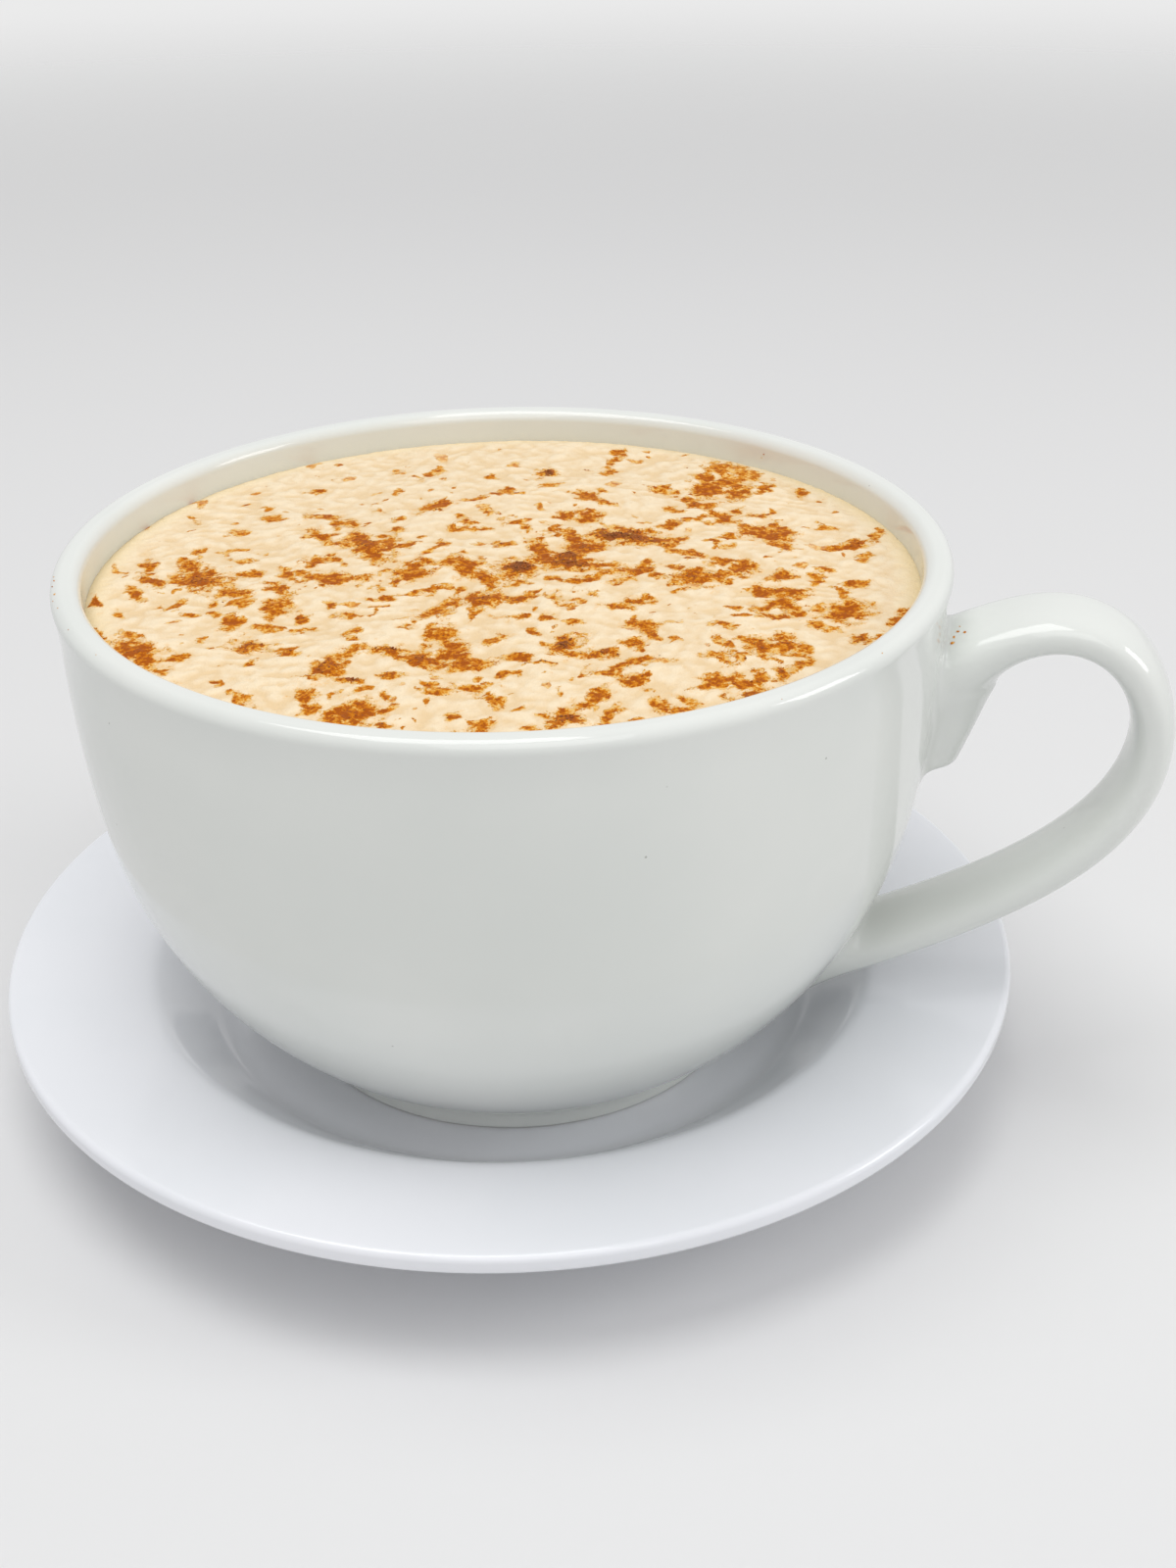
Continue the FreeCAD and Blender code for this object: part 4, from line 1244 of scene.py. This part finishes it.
    (35, 15.8, 2.8, 1.8, -20, .85), (37.5, 17, 1.8, 1, 65, .8), (23.8, 17.5, 2.2, 1.4, -50, .75),
    (26, 14, 2.8, 1, 45, .65), (22.8, 12.2, 2.8, 1.8, 30, .9), (28.5, 12.5, 2, 1.2, 0, .55),
    (32.5, 35.5, 5.5, 4, 80, .62), (36, 33.5, 4.5, 2.2, -80, .58), (29.3, 31.3, 3.8, 2.2, 65, .95),
    (30, 27, 6, 3.8, 60, 1), (33.5, 25.5, 4.5, 2.4, 70, .95), (33, 30, 4, 3.8, 0, .82),
    (37.5, 27, 4, 1.3, 62, .85), (27, 21.5, 5, 2, -45, .95, .3), (28, 19, 2.6, 1.7, 0, .8),
    (42.5, 25.5, 2.6, 1.7, 68, .9), (23, 27, 2.6, 2.8, 70, .66), (11.8, 24.5, 3.4, 2.8, -60, .95),
    (13.8, 21.7, 2.8, 1.5, -50, .8), (.5, 27.5, 2.4, 2, 70, .85), (-1, 26, 2.2, 1.5, 0, .8),
    (2, 26, 1.6, 1.3, 0, .6, .6), (8.5, 16.3, 2.3, 1.8, 70, .95), (11.5, 16.3, 3.2, 2.9, 0, .95),
    (1.5, 14, 2.7, 2, -40, .9), (3, 12, 1.8, 1, -60, .7), (-1.8, 18.8, 2.4, 1.3, -60, .8),
    (6.6, 35, 2.9, 2.6, 80, .95, 1), (17.7, 44.3, 3.6, 1.6, 80, .8), (15.8, 36, 3, 1.8, 80, .78),
    (16.4, 40, 3, 1.4, 75, .8), (19.8, 40.5, 2.4, .9, -85, .5), (7, 12, 2.6, 1, 60, .7),
    (13.5, 12.5, 2.6, 1, -60, .7), (19, 13.3, 1.2, 1, 0, .7), (-9.5, 21.5, 4.6, 2.3, 40, .95),
    (-8, 23.2, 2.6, 1.5, -60, .8), (-4.3, 24, 2.8, 1.5, 15, .8), (-5.2, 15.5, 2.9, 1.5, -60, .72),
    (-6, 12.5, 3.6, 1.1, 0, .55), (-3, 12.5, 2.2, 1.1, -20, .6), (-14.5, 17, 1.5, 1.1, 0, .6),
    (-17.8, 21.8, 1.8, .9, -60, .5), (-28, 43, 3.2, 1.4, -80, .45), (-9, 44.5, 3, 1.2, 90, .36),
    (-9, 37.5, 2.6, 1.5, 80, .58), (-12.7, 35, 1.8, 1.2, -40, .66), (-15, 38, 2.6, .9, -60, .45),
    (1.8, 39, 2, 1.4, 80, .5), (-1.7, 34.5, 2.4, 1.5, -85, .62), (-26.8, 31, 2, 1.3, -60, .85),
    (-43.2, 28.5, 3, 1, -65, .5), (-43.3, 22, 3, .9, -55, .55), (-49.5, 20.5, 2.4, .9, -65, .5),
    (15.8, 29.5, 2, 1, 80, .4), (5, 19.5, 2, 1, -50, .4),
]


@dataclass
class Sprinkle:
    """Where spice has soaked into the foam, how deeply, and where it still lies dry."""

    radius: float
    flecks: int = 330
    seed: int = 11
    margin: float = 2 * MM
    room: float = 2 * MM
    thinning: float = 0.75
    fleck_spread: tuple[float, float] = (-0.35, 0.45)
    fleck_range: tuple[float, float] = (0.35, 2.0)
    fleck_width: tuple[float, float] = (0.45, 0.95)
    fleck_depth: tuple[float, float] = (0.3, 0.85)
    dry_flecks: float = 0.12
    fleck_dryness: float = 0.5
    middle_cover: float = 1.35
    cover_fall: float = 0.8
    dry_reach: float = 1.25
    sway: float = 0.9 * MM
    sway_wave: float = 2.6 * MM
    tear: float = 0.5
    tear_wave: float = 1.9 * MM
    crumble: float = 0.12
    crumble_wave: float = 0.5 * MM
    fade: float = 0.12
    fade_wave: float = 3 * MM

    def __post_init__(self) -> None:
        """Gathers the patches, adds the small flecks between them and draws the noise."""
        self.blotches = [Blotch(*row) for row in BLOTCHES]
        rng = np.random.default_rng(self.seed)
        limit = (self.radius - self.margin) / MM
        while len(self.blotches) < len(BLOTCHES) + self.flecks:
            x, y = rng.uniform(-limit, limit, 2)
            away = math.hypot(x, y) / limit
            if away > 1 or rng.random() < self.thinning * away ** 2:
                continue
            length = float(np.clip(rng.lognormal(*self.fleck_spread), *self.fleck_range))
            width = length * rng.uniform(*self.fleck_width)
            turn = rng.uniform(0, 180)
            depth = rng.uniform(*self.fleck_depth)
            dry = self.fleck_dryness if rng.random() < self.dry_flecks else 0.0
            self.blotches.append(Blotch(x, y, length, width, turn, depth, dry))
        self.noise = [Drift(self.seed + k) for k in range(1, 6)]

    def at(self, x: np.ndarray, y: np.ndarray) -> tuple[np.ndarray, np.ndarray, np.ndarray]:
        """The soaking at places on the foam.

        Args:
            x: How far from the cup's axis, in metres.
            y: How far from the cup's axis, in metres.

        Returns:
            How well each place is covered, above about 0.25 where spice shows; how deep; how dry.
        """
        sway_x, sway_y, tear, crumble, fade = self.noise
        px = (x + self.sway * sway_x.layers(x, y, self.sway_wave, 3)) / MM
        py = (y + self.sway * sway_y.layers(x, y, self.sway_wave, 3)) / MM
        soak = np.full(x.shape, -1.0)
        depth = np.full(x.shape, 0.5)
        dry = np.zeros(x.shape)
        for blotch in self.blotches:
            reach = blotch.length + self.room / MM
            near = (np.abs(px - blotch.x) < reach) & (np.abs(py - blotch.y) < reach)
            if not near.any():
                continue
            c, s = math.cos(math.radians(blotch.turn)), math.sin(math.radians(blotch.turn))
            dx, dy = px[near] - blotch.x, py[near] - blotch.y
            away = np.hypot((dx * c + dy * s) * 2 / blotch.length, (dy * c - dx * s) * 2 / blotch.width)
            cover = self.middle_cover - self.cover_fall * away
            better = cover > soak[near]
            soak[near] = np.where(better, cover, soak[near])
            depth[near] = np.where(better, blotch.depth, depth[near])
            dry[near] = np.maximum(dry[near], blotch.dry * np.clip(self.dry_reach - away, 0, 1))
        soak += (self.tear * tear.layers(x, y, self.tear_wave, 3)
                 + self.crumble * crumble.at(x / self.crumble_wave, y / self.crumble_wave))
        depth += self.fade * fade.layers(x, y, self.fade_wave, 2)
        return np.clip(soak, -1, 1.5), np.clip(depth, 0, 1), dry


@dataclass(frozen=True)
class Wave:
    """One layer of the foam's relief: its height and the length of its waves, in metres."""

    height: float
    length: float


@dataclass
class Latte:
    """The drink: foam with its relief on top, and the body of the drink down to the cup's floor."""

    axis: Vector
    base: float
    edge_height: float
    crown: float
    wall: CupWall
    sprinkle: Sprinkle
    reach: float = 0.2 * MM
    across: int = 300
    seed: int = 5
    swell: Wave = Wave(0.30 * MM, 15 * MM)
    rise: Wave = Wave(0.20 * MM, 6.5 * MM)
    puff: Wave = Wave(0.24 * MM, 3.2 * MM)
    pebble: Wave = Wave(0.05 * MM, 1.1 * MM)
    fold: Wave = Wave(0.17 * MM, 2.3 * MM)
    fold_sway: Wave = Wave(2.2 * MM, 13 * MM)
    fold_patch: float = 11 * MM
    fold_slant: float = 0.25
    edge_puffs: float = 0.35
    calm_edge: float = 5 * MM
    edge_width: float = 2.2 * MM
    edge_drop: float = 0.42 * MM
    rim_start: float = 0.93
    hollow_depth: float = 0.12 * MM
    hollow_reach: tuple[int, ...] = (-8, -4, 4, 8)
    dry_heap: float = 0.42 * MM
    soaked_dip: float = 0.05 * MM
    ring_skip: int = 6

    def __post_init__(self) -> None:
        """Works out the foam's radius and draws its noise."""
        self.radius = self.wall.top_radius - self.wall.wall
        self.noise = [Drift(self.seed + k) for k in range(6)]

    def relief(self, x: np.ndarray, y: np.ndarray) -> np.ndarray:
        """The height of the foam's top in the frame.

        Args:
            x: How far from the cup's axis, in metres.
            y: How far from the cup's axis, in metres.

        Returns:
            One height a place.
        """
        swell, rise, puff, pebble, sway, patch = self.noise
        out = np.hypot(x, y) / self.radius
        inner = np.clip((1 - out) * self.radius / self.calm_edge, 0, 1)
        height = self.edge_height + self.crown * (1 - np.minimum(out, 1) ** 2)
        height += self.swell.height * swell.at(x / self.swell.length, y / self.swell.length) * inner
        height += self.rise.height * rise.layers(x, y, self.rise.length, 2) * inner
        height += self.puff.height * np.abs(puff.layers(x, y, self.puff.length, 2)) * (
            self.edge_puffs + (1 - self.edge_puffs) * inner)
        height += self.pebble.height * pebble.layers(x, y, self.pebble.length, 2)
        bend = self.fold_sway.height * sway.layers(x, y, self.fold_sway.length, 2)
        along = (self.fold_slant * x + y + bend) / self.fold.length
        ridge = (0.5 + 0.5 * np.sin(2 * np.pi * along)) ** 2
        folded = np.clip(0.1 + 1.3 * patch.at(x / self.fold_patch, y / self.fold_patch), 0, 1)
        height += self.fold.height * ridge * folded * inner
        close = np.clip((out * self.radius - (self.radius - self.edge_width)) / self.edge_width, 0, 1.2)
        return height - self.edge_drop * close ** 2

    def top(self) -> tuple[np.ndarray, np.ndarray, np.ndarray]:
        """The foam's grid, from a square drawn out to a circle.

        Returns:
            Distances from the axis along X and Y, and the numbers of the vertices round the edge.
        """
        line = np.linspace(-1, 1, self.across)
        a, b = np.meshgrid(line, line, indexing="ij")
        wide = np.abs(a) > np.abs(b)
        safe_a, safe_b = np.where(a == 0, 1e-12, a), np.where(b == 0, 1e-12, b)
        out = np.where(wide, a, b)
        turn = np.where(wide, np.pi / 4 * b / safe_a, np.pi / 2 - np.pi / 4 * a / safe_b)
        outer = self.radius + self.reach
        number = np.arange(self.across ** 2).reshape(self.across, self.across)
        edge = np.concatenate([number[:-1, 0], number[-1, :-1], number[:0:-1, -1], number[0, :0:-1]])
        return (outer * out * np.cos(turn)).ravel(), (outer * out * np.sin(turn)).ravel(), edge

    def build(self, foam: bpy.types.Material) -> bpy.types.Object:
        """Makes the drink.

        Args:
            foam: The foam's material, which reads the values that the mesh carries.

        Returns:
            The drink.
        """
        x, y, edge = self.top()
        z = self.relief(x, y)
        soak, depth, dry = self.sprinkle.at(x, y)
        # Hollow values for the foam's painted shade and painted highlight.
        hollow = self.hollows(z)
        z = z + self.heaped(soak, dry)
        top = np.stack([x + self.axis.x, y + self.axis.y, z], axis=-1)
        number = np.arange(self.across ** 2).reshape(self.across, self.across)
        cells = np.stack([number[:-1, :-1], number[1:, :-1], number[1:, 1:], number[:-1, 1:]], axis=-1)
        parts = MeshParts()
        parts.add(top, cells.reshape(-1, 4))
        rings = self.body(x[edge], y[edge])
        count = len(edge)
        loops = np.concatenate([edge, len(top) + np.arange(len(rings) - 1)]).reshape(-1, count)
        after = np.roll(loops, -1, axis=1)
        sides = np.stack([loops[:-1], loops[1:], after[1:], after[:-1]], axis=-1).reshape(-1, 4)
        parts.add(rings)
        parts.cover(sides)
        parts.cover(np.stack([np.full(count, parts.count - 1), after[-1], loops[-1]], axis=-1))
        piece = parts.build("latte_foam", [foam], "latte", slot=Slot.FOAM.value)
        rim = np.clip((np.hypot(x, y) / self.radius - self.rim_start) / (1 - self.rim_start), 0, 1)
        below = parts.count - len(top)
        for name, values, rest in (("soak", soak, -1.0), ("depth", depth, 0.0), ("dry", dry, 0.0),
                                   ("rim", rim, 1.0), ("hollow", hollow, 0.0)):
            carried = piece.data.attributes.new(name, "FLOAT", "POINT")
            carried.data.foreach_set("value", np.concatenate([values, np.full(below, rest)]))
        return piece

    def heaped(self, soak: np.ndarray, dry: np.ndarray) -> np.ndarray:
        """How much higher the foam is where spice lies: a little sunk where soaked, heaped where dry.

        Args:
            soak: How well each place is covered.
            dry: How dry the spice is.

        Returns:
            Heights to add.
        """
        cover = np.clip(soak, 0, 1)
        return self.dry_heap * dry * cover - self.soaked_dip * cover

    def hollows(self, z: np.ndarray) -> np.ndarray:
        """How far each place of the foam lies below its surroundings, for the painted shade in hollows and
        the painted highlight on puffs.

        Args:
            z: Heights over the foam's grid.

        Returns:
            From -1 on a puff to 1 in a hollow.
        """
        grid = z.reshape(self.across, self.across)
        around = [np.roll(grid, shift, axis) for shift in self.hollow_reach for axis in (0, 1)]
        return np.clip((np.mean(around, axis=0) - grid) / self.hollow_depth, -1, 1).ravel()

    def body(self, x: np.ndarray, y: np.ndarray) -> np.ndarray:
        """The drink's side and floor below the foam, just inside the wall's skin.

        Args:
            x: Distances of the foam's edge from the axis along X.
            y: Distances of the foam's edge from the axis along Y.

        Returns:
            Rings of vertices downwards, and last the middle of the floor.
        """
        outline = self.wall.inside(-self.reach)[:-1:self.ring_skip]
        out = np.hypot(x, y)
        rings = [np.stack([x / out * radius + self.axis.x, y / out * radius + self.axis.y,
                           np.full(len(x), height + self.base)], axis=-1) for radius, height in outline]
        floor = self.wall.foot_recess + self.wall.floor - self.reach + self.base
        return np.concatenate(rings + [np.array([[self.axis.x, self.axis.y, floor]])])


@dataclass
class Grains:
    """Loose grains of spice: small crumbs heaped where the spice lies dry, and strays elsewhere.

    Strays are given in degrees and millimetres. On the lip: the bearing round the cup, how far out from the
    middle of the lip, and the size. At the handle's upper joint: out, across and up from the cup's foot, and
    the size. On the inside of the wall: the bearing, how far out from the wall's skin, up, and the size.
    """

    latte: Latte
    seed: int = 23
    tries: int = 90000
    margin: float = 0.8 * MM
    sunk: float = 0.02 * MM
    least_soak: float = 0.35
    soaked_chance: float = 0.02
    dry_chance: float = 0.5
    smallest: float = 0.10 * MM
    largest: float = 0.19 * MM
    heap_lift: float = 0.16 * MM
    corner_distance: float = 1.902
    lip_grains: tuple[tuple[float, float, float], ...] = (
        (189, .8, .22), (190.5, 1.0, .18), (187.5, .9, .14), (193.5, .75, .24), (195, 1.1, .14),
        (198, .8, .12), (205, .9, .12), (214, .7, .1), (52, .8, .1), (301, .9, .1), (318, .8, .12))
    joint_grains: tuple[tuple[float, float, float, float], ...] = (
        (58.0, -3.4, 62.8, .34), (58.5, -2.4, 63.1, .4), (57.9, -4.6, 62.5, .36), (59.2, -3.2, 63.6, .28),
        (58.7, -1.2, 63.2, .2))
    wall_grains: tuple[tuple[float, float, float, float], ...] = (
        (43.5, 0.15, 69.2, .24), (43.9, 0, 68.6, .2), (44.3, 0, 68.0, .16), (200, 0, 67.9, .12))

    def crumb(self, rng: np.random.Generator, size: float) -> tuple[np.ndarray, np.ndarray]:
        """One crumb, an uneven flattened lump.

        Args:
            rng: Where its shape comes from.
            size: Its longest half width.

        Returns:
            Its vertices about its own middle, and its triangles.
        """
        gold = (1 + math.sqrt(5)) / 2
        corners = np.array([(-1, gold, 0), (1, gold, 0), (-1, -gold, 0), (1, -gold, 0),
                            (0, -1, gold), (0, 1, gold), (0, -1, -gold), (0, 1, -gold),
                            (gold, 0, -1), (gold, 0, 1), (-gold, 0, -1), (-gold, 0, 1)])
        faces = np.array([(0, 11, 5), (0, 5, 1), (0, 1, 7), (0, 7, 10), (0, 10, 11),
                          (1, 5, 9), (5, 11, 4), (11, 10, 2), (10, 7, 6), (7, 1, 8),
                          (3, 9, 4), (3, 4, 2), (3, 2, 6), (3, 6, 8), (3, 8, 9),
                          (4, 9, 5), (2, 4, 11), (6, 2, 10), (8, 6, 7), (9, 8, 1)])
        turn = np.array(Matrix.Rotation(rng.uniform(0, 2 * np.pi), 3, "Z"))
        lumps = rng.uniform(0.7, 1.15, (12, 1))
        shape = corners / self.corner_distance * lumps * [1, rng.uniform(0.5, 0.9), rng.uniform(0.35, 0.6)]
        return size * shape @ turn.T, faces

    def heap(self, spice: bpy.types.Material) -> bpy.types.Object:
        """The crumbs on the foam.

        Args:
            spice: Their material.

        Returns:
            All of them as one piece.
        """
        rng = np.random.default_rng(self.seed)
        span = self.latte.radius - self.margin
        x, y = rng.uniform(-span, span, (2, self.tries))
        inside = np.hypot(x, y) < span
        x, y = x[inside], y[inside]
        soak, depth, dry = self.latte.sprinkle.at(x, y)
        chance = np.where(soak > self.least_soak, self.soaked_chance + self.dry_chance * dry ** 1.3, 0)
        chance *= np.clip(depth * 1.4, 0, 1)
        chosen = rng.random(len(x)) < chance
        x, y, soak, dry = x[chosen], y[chosen], soak[chosen], dry[chosen]
        z = self.latte.relief(x, y) + self.latte.heaped(soak, dry) - self.sunk
        middle = np.stack([x + self.latte.axis.x, y + self.latte.axis.y, z], axis=-1)
        parts = MeshParts()
        for place, dryness in zip(middle, dry):
            size = rng.uniform(self.smallest, self.largest) * (1 + 0.5 * dryness)
            shape, faces = self.crumb(rng, size)
            lift = rng.uniform(0, self.heap_lift) * dryness
            parts.add(shape + place + [0, 0, lift], faces)
        return parts.build("spice_crumbs", [spice], slot=Slot.SPICE.value)

    @staticmethod
    def round_cup(cup: Cup, bearing: float, out: float, up: float) -> np.ndarray:
        """A place round the cup in the frame, from its bearing in degrees and how far out and up it is."""
        turn = math.radians(bearing)
        return np.array([cup.axis.x + out * math.cos(turn), cup.axis.y + out * math.sin(turn), cup.base + up])

    def strays(self, cup: Cup, spice: bpy.types.Material) -> bpy.types.Object:
        """The few grains on the lip, on the inside of the wall and at the handle's upper joint.

        Args:
            cup: The cup that they lie on.
            spice: Their material.

        Returns:
            All of them as one piece.
        """
        rng = np.random.default_rng(self.seed + 1)
        wall = cup.wall
        joint = np.array(self.joint_grains) * MM
        on_handle = cup.handle.settle(joint[:, :3], cup.handle.spot_rounds)
        spots = []
        for bearing, outward, size in self.lip_grains:
            lip_rise = math.sqrt(wall.lip_outer ** 2 - (outward * MM) ** 2) - wall.lip_outer
            spots.append((self.round_cup(cup, bearing, wall.lip_centre[0] + outward * MM,
                                         wall.height + lip_rise), size * MM))
        spots += zip(cup.place(on_handle), joint[:, 3])
        for bearing, outward, up, size in self.wall_grains:
            inner = wall.top_radius - wall.wall + outward * MM
            spots.append((self.round_cup(cup, bearing, inner, up * MM), size * MM))
        parts = MeshParts()
        for spot, size in spots:
            shape, faces = self.crumb(rng, size)
            parts.add(shape + spot, faces)
        return parts.build("stray_grains", [spice], slot=Slot.SPICE.value)


@dataclass(frozen=True)
class Lamp:
    """A square soft lamp that points at the cup: its place, the length of its side, its power in watts."""

    name: str
    place: tuple[float, float, float]
    size: float
    power: float

    def hang(self) -> None:
        """Hangs the lamp in its place."""
        data = bpy.data.lights.new(self.name, "AREA")
        data.shape = "SQUARE"
        data.size = self.size
        data.energy = self.power
        lamp = bpy.data.objects.new(self.name, data)
        lamp.location = self.place
        aim = Vector((0, 0, 50 * MM)) - lamp.location
        lamp.rotation_euler = aim.to_track_quat("-Z", "Y").to_euler()
        bpy.context.scene.collection.objects.link(lamp)


@dataclass
class Studio:
    """The pale floor, the soft lights, the surroundings and the camera."""

    eye: Vector = Vector((0.8, -238.8, 168.5)) * MM
    pan: float = math.radians(2.53)
    tilt: float = math.radians(-28.52)
    roll: float = math.radians(-0.79)
    lens: float = 44.33
    sensor: float = 36.0
    floor_radius: float = 1.4
    floor_sides: int = 96
    floor_tint: Colour = paint(228, 228, 228)
    floor_shade: Colour = paint(224, 224, 225)
    surround: float = 0.48
    backdrop: float = 0.83
    lamps: tuple[Lamp, ...] = (Lamp("high_soft_lamp", (-0.2, -0.05, 1.25), 0.8, 6.8),
                               Lamp("front_soft_lamp", (0.1, -0.9, 1.0), 0.9, 3.2),
                               Lamp("side_soft_lamp", (1.0, -0.15, 0.55), 0.4, 2.3))

    def build(self) -> None:
        """Makes the camera, the floor, the lamps and the surroundings."""
        self.make_camera()
        self.make_floor()
        self.make_surroundings()
        for lamp in self.lamps:
            lamp.hang()

    def make_camera(self) -> None:
        """Puts the camera in its place, square to the scene but for a slight roll."""
        data = bpy.data.cameras.new("camera")
        data.lens = self.lens
        data.sensor_width = self.sensor
        data.clip_start = 0.01
        data.clip_end = 20
        camera = bpy.data.objects.new("camera", data)
        turn = (Matrix.Rotation(-self.pan, 4, "Z") @ Matrix.Rotation(math.pi / 2 + self.tilt, 4, "X")
                @ Matrix.Rotation(self.roll, 4, "Z"))
        camera.matrix_world = Matrix.Translation(self.eye) @ turn
        bpy.context.scene.collection.objects.link(camera)
        bpy.context.scene.camera = camera

    def make_floor(self) -> None:
        """Lays a wide pale floor."""
        mesh = bpy.data.meshes.new("floor")
        turns = np.arange(self.floor_sides) * 2 * np.pi / self.floor_sides
        rim = np.stack([np.cos(turns), np.sin(turns), 0 * turns], axis=-1) * self.floor_radius
        mesh.from_pydata(rim.tolist(), [], [tuple(range(self.floor_sides))])
        material, wiring, shader = new_material("pale_floor", self.floor_tint)
        haze = wiring.noise(wiring.place(), 3.0, 2.0)
        wiring.feed(shader, Base_Color=wiring.blend(haze, self.floor_tint, self.floor_shade))
        shader.inputs["Roughness"].default_value = 0.8
        away = wiring.add("ShaderNodeVectorMath", {0: wiring.place()}, operation="LENGTH").outputs["Value"]
        fade = wiring.ramp(away, 0.35 * self.floor_radius, 0.95 * self.floor_radius)
        clear = wiring.add("ShaderNodeBsdfTransparent")
        mixed = wiring.add("ShaderNodeMixShader", {0: fade, 1: shader.outputs[0], 2: clear.outputs[0]})
        wiring.feed(wiring.tree.nodes["Material Output"], Surface=mixed.outputs[0])
        mesh.materials.append(material)
        floor = bpy.data.objects.new("floor", mesh)
        bpy.context.scene.collection.objects.link(floor)

    def make_surroundings(self) -> None:
        """Lights the scene evenly from all round, behind a pale backdrop."""
        world = bpy.data.worlds.new("studio")
        world.use_nodes = True
        ground = world.node_tree.nodes["Background"]
        ground.inputs["Color"].default_value = (1.0, 1.0, 1.0, 1.0)
        wiring = Wiring(world.node_tree)
        path = wiring.add("ShaderNodeLightPath")
        seen = wiring.reckon(path.outputs["Is Camera Ray"], Sum.LARGER, path.outputs["Is Glossy Ray"])
        seen = wiring.reckon(seen, Sum.LARGER, path.outputs["Is Transmission Ray"])
        wiring.feed(ground, Strength=wiring.ramp(seen, 0, 1, self.surround, self.backdrop))
        bpy.context.scene.world = world


def main() -> None:
    """Builds the object and its studio."""
    logging.basicConfig(level=logging.INFO, format="%(message)s")
    bpy.context.scene.view_settings.view_transform = "Standard"
    Studio().build()
    skin = make_glaze_skin()
    spice = make_spice_grain()
    cup_glaze = Glaze("cup_glaze", paint(228, 230, 226), paint(223, 226, 222))
    saucer_glaze = Glaze("saucer_glaze", paint(237, 238, 243), paint(233, 235, 240))
    bare_clay = Bisque("bare_clay").material()

    cup_low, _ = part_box("cup")
    drink_low, drink_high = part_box("latte")
    axis = (drink_low + drink_high) / 2
    wall = CupWall()
    Saucer(Vector((0, 0, 0))).build(saucer_glaze.material(skin), bare_clay)
    cup = Cup(axis, cup_low.z, wall, Handle(wall))
    cup.build(cup_glaze.material(skin), bare_clay)
    crown = 1.2 * MM
    sprinkle = Sprinkle(wall.top_radius - wall.wall)
    latte = Latte(axis, cup_low.z, drink_high.z - crown, crown, wall, sprinkle)
    latte.build(FoamFinish().material(spice))
    grains = Grains(latte)
    grains.heap(SpiceFinish("dry_spice", 0.8, 0.75).material(spice))
    grains.strays(cup, SpiceFinish("stray_spice", 0.5, 0.0).material(spice))


if __name__ == "__main__":
    main()
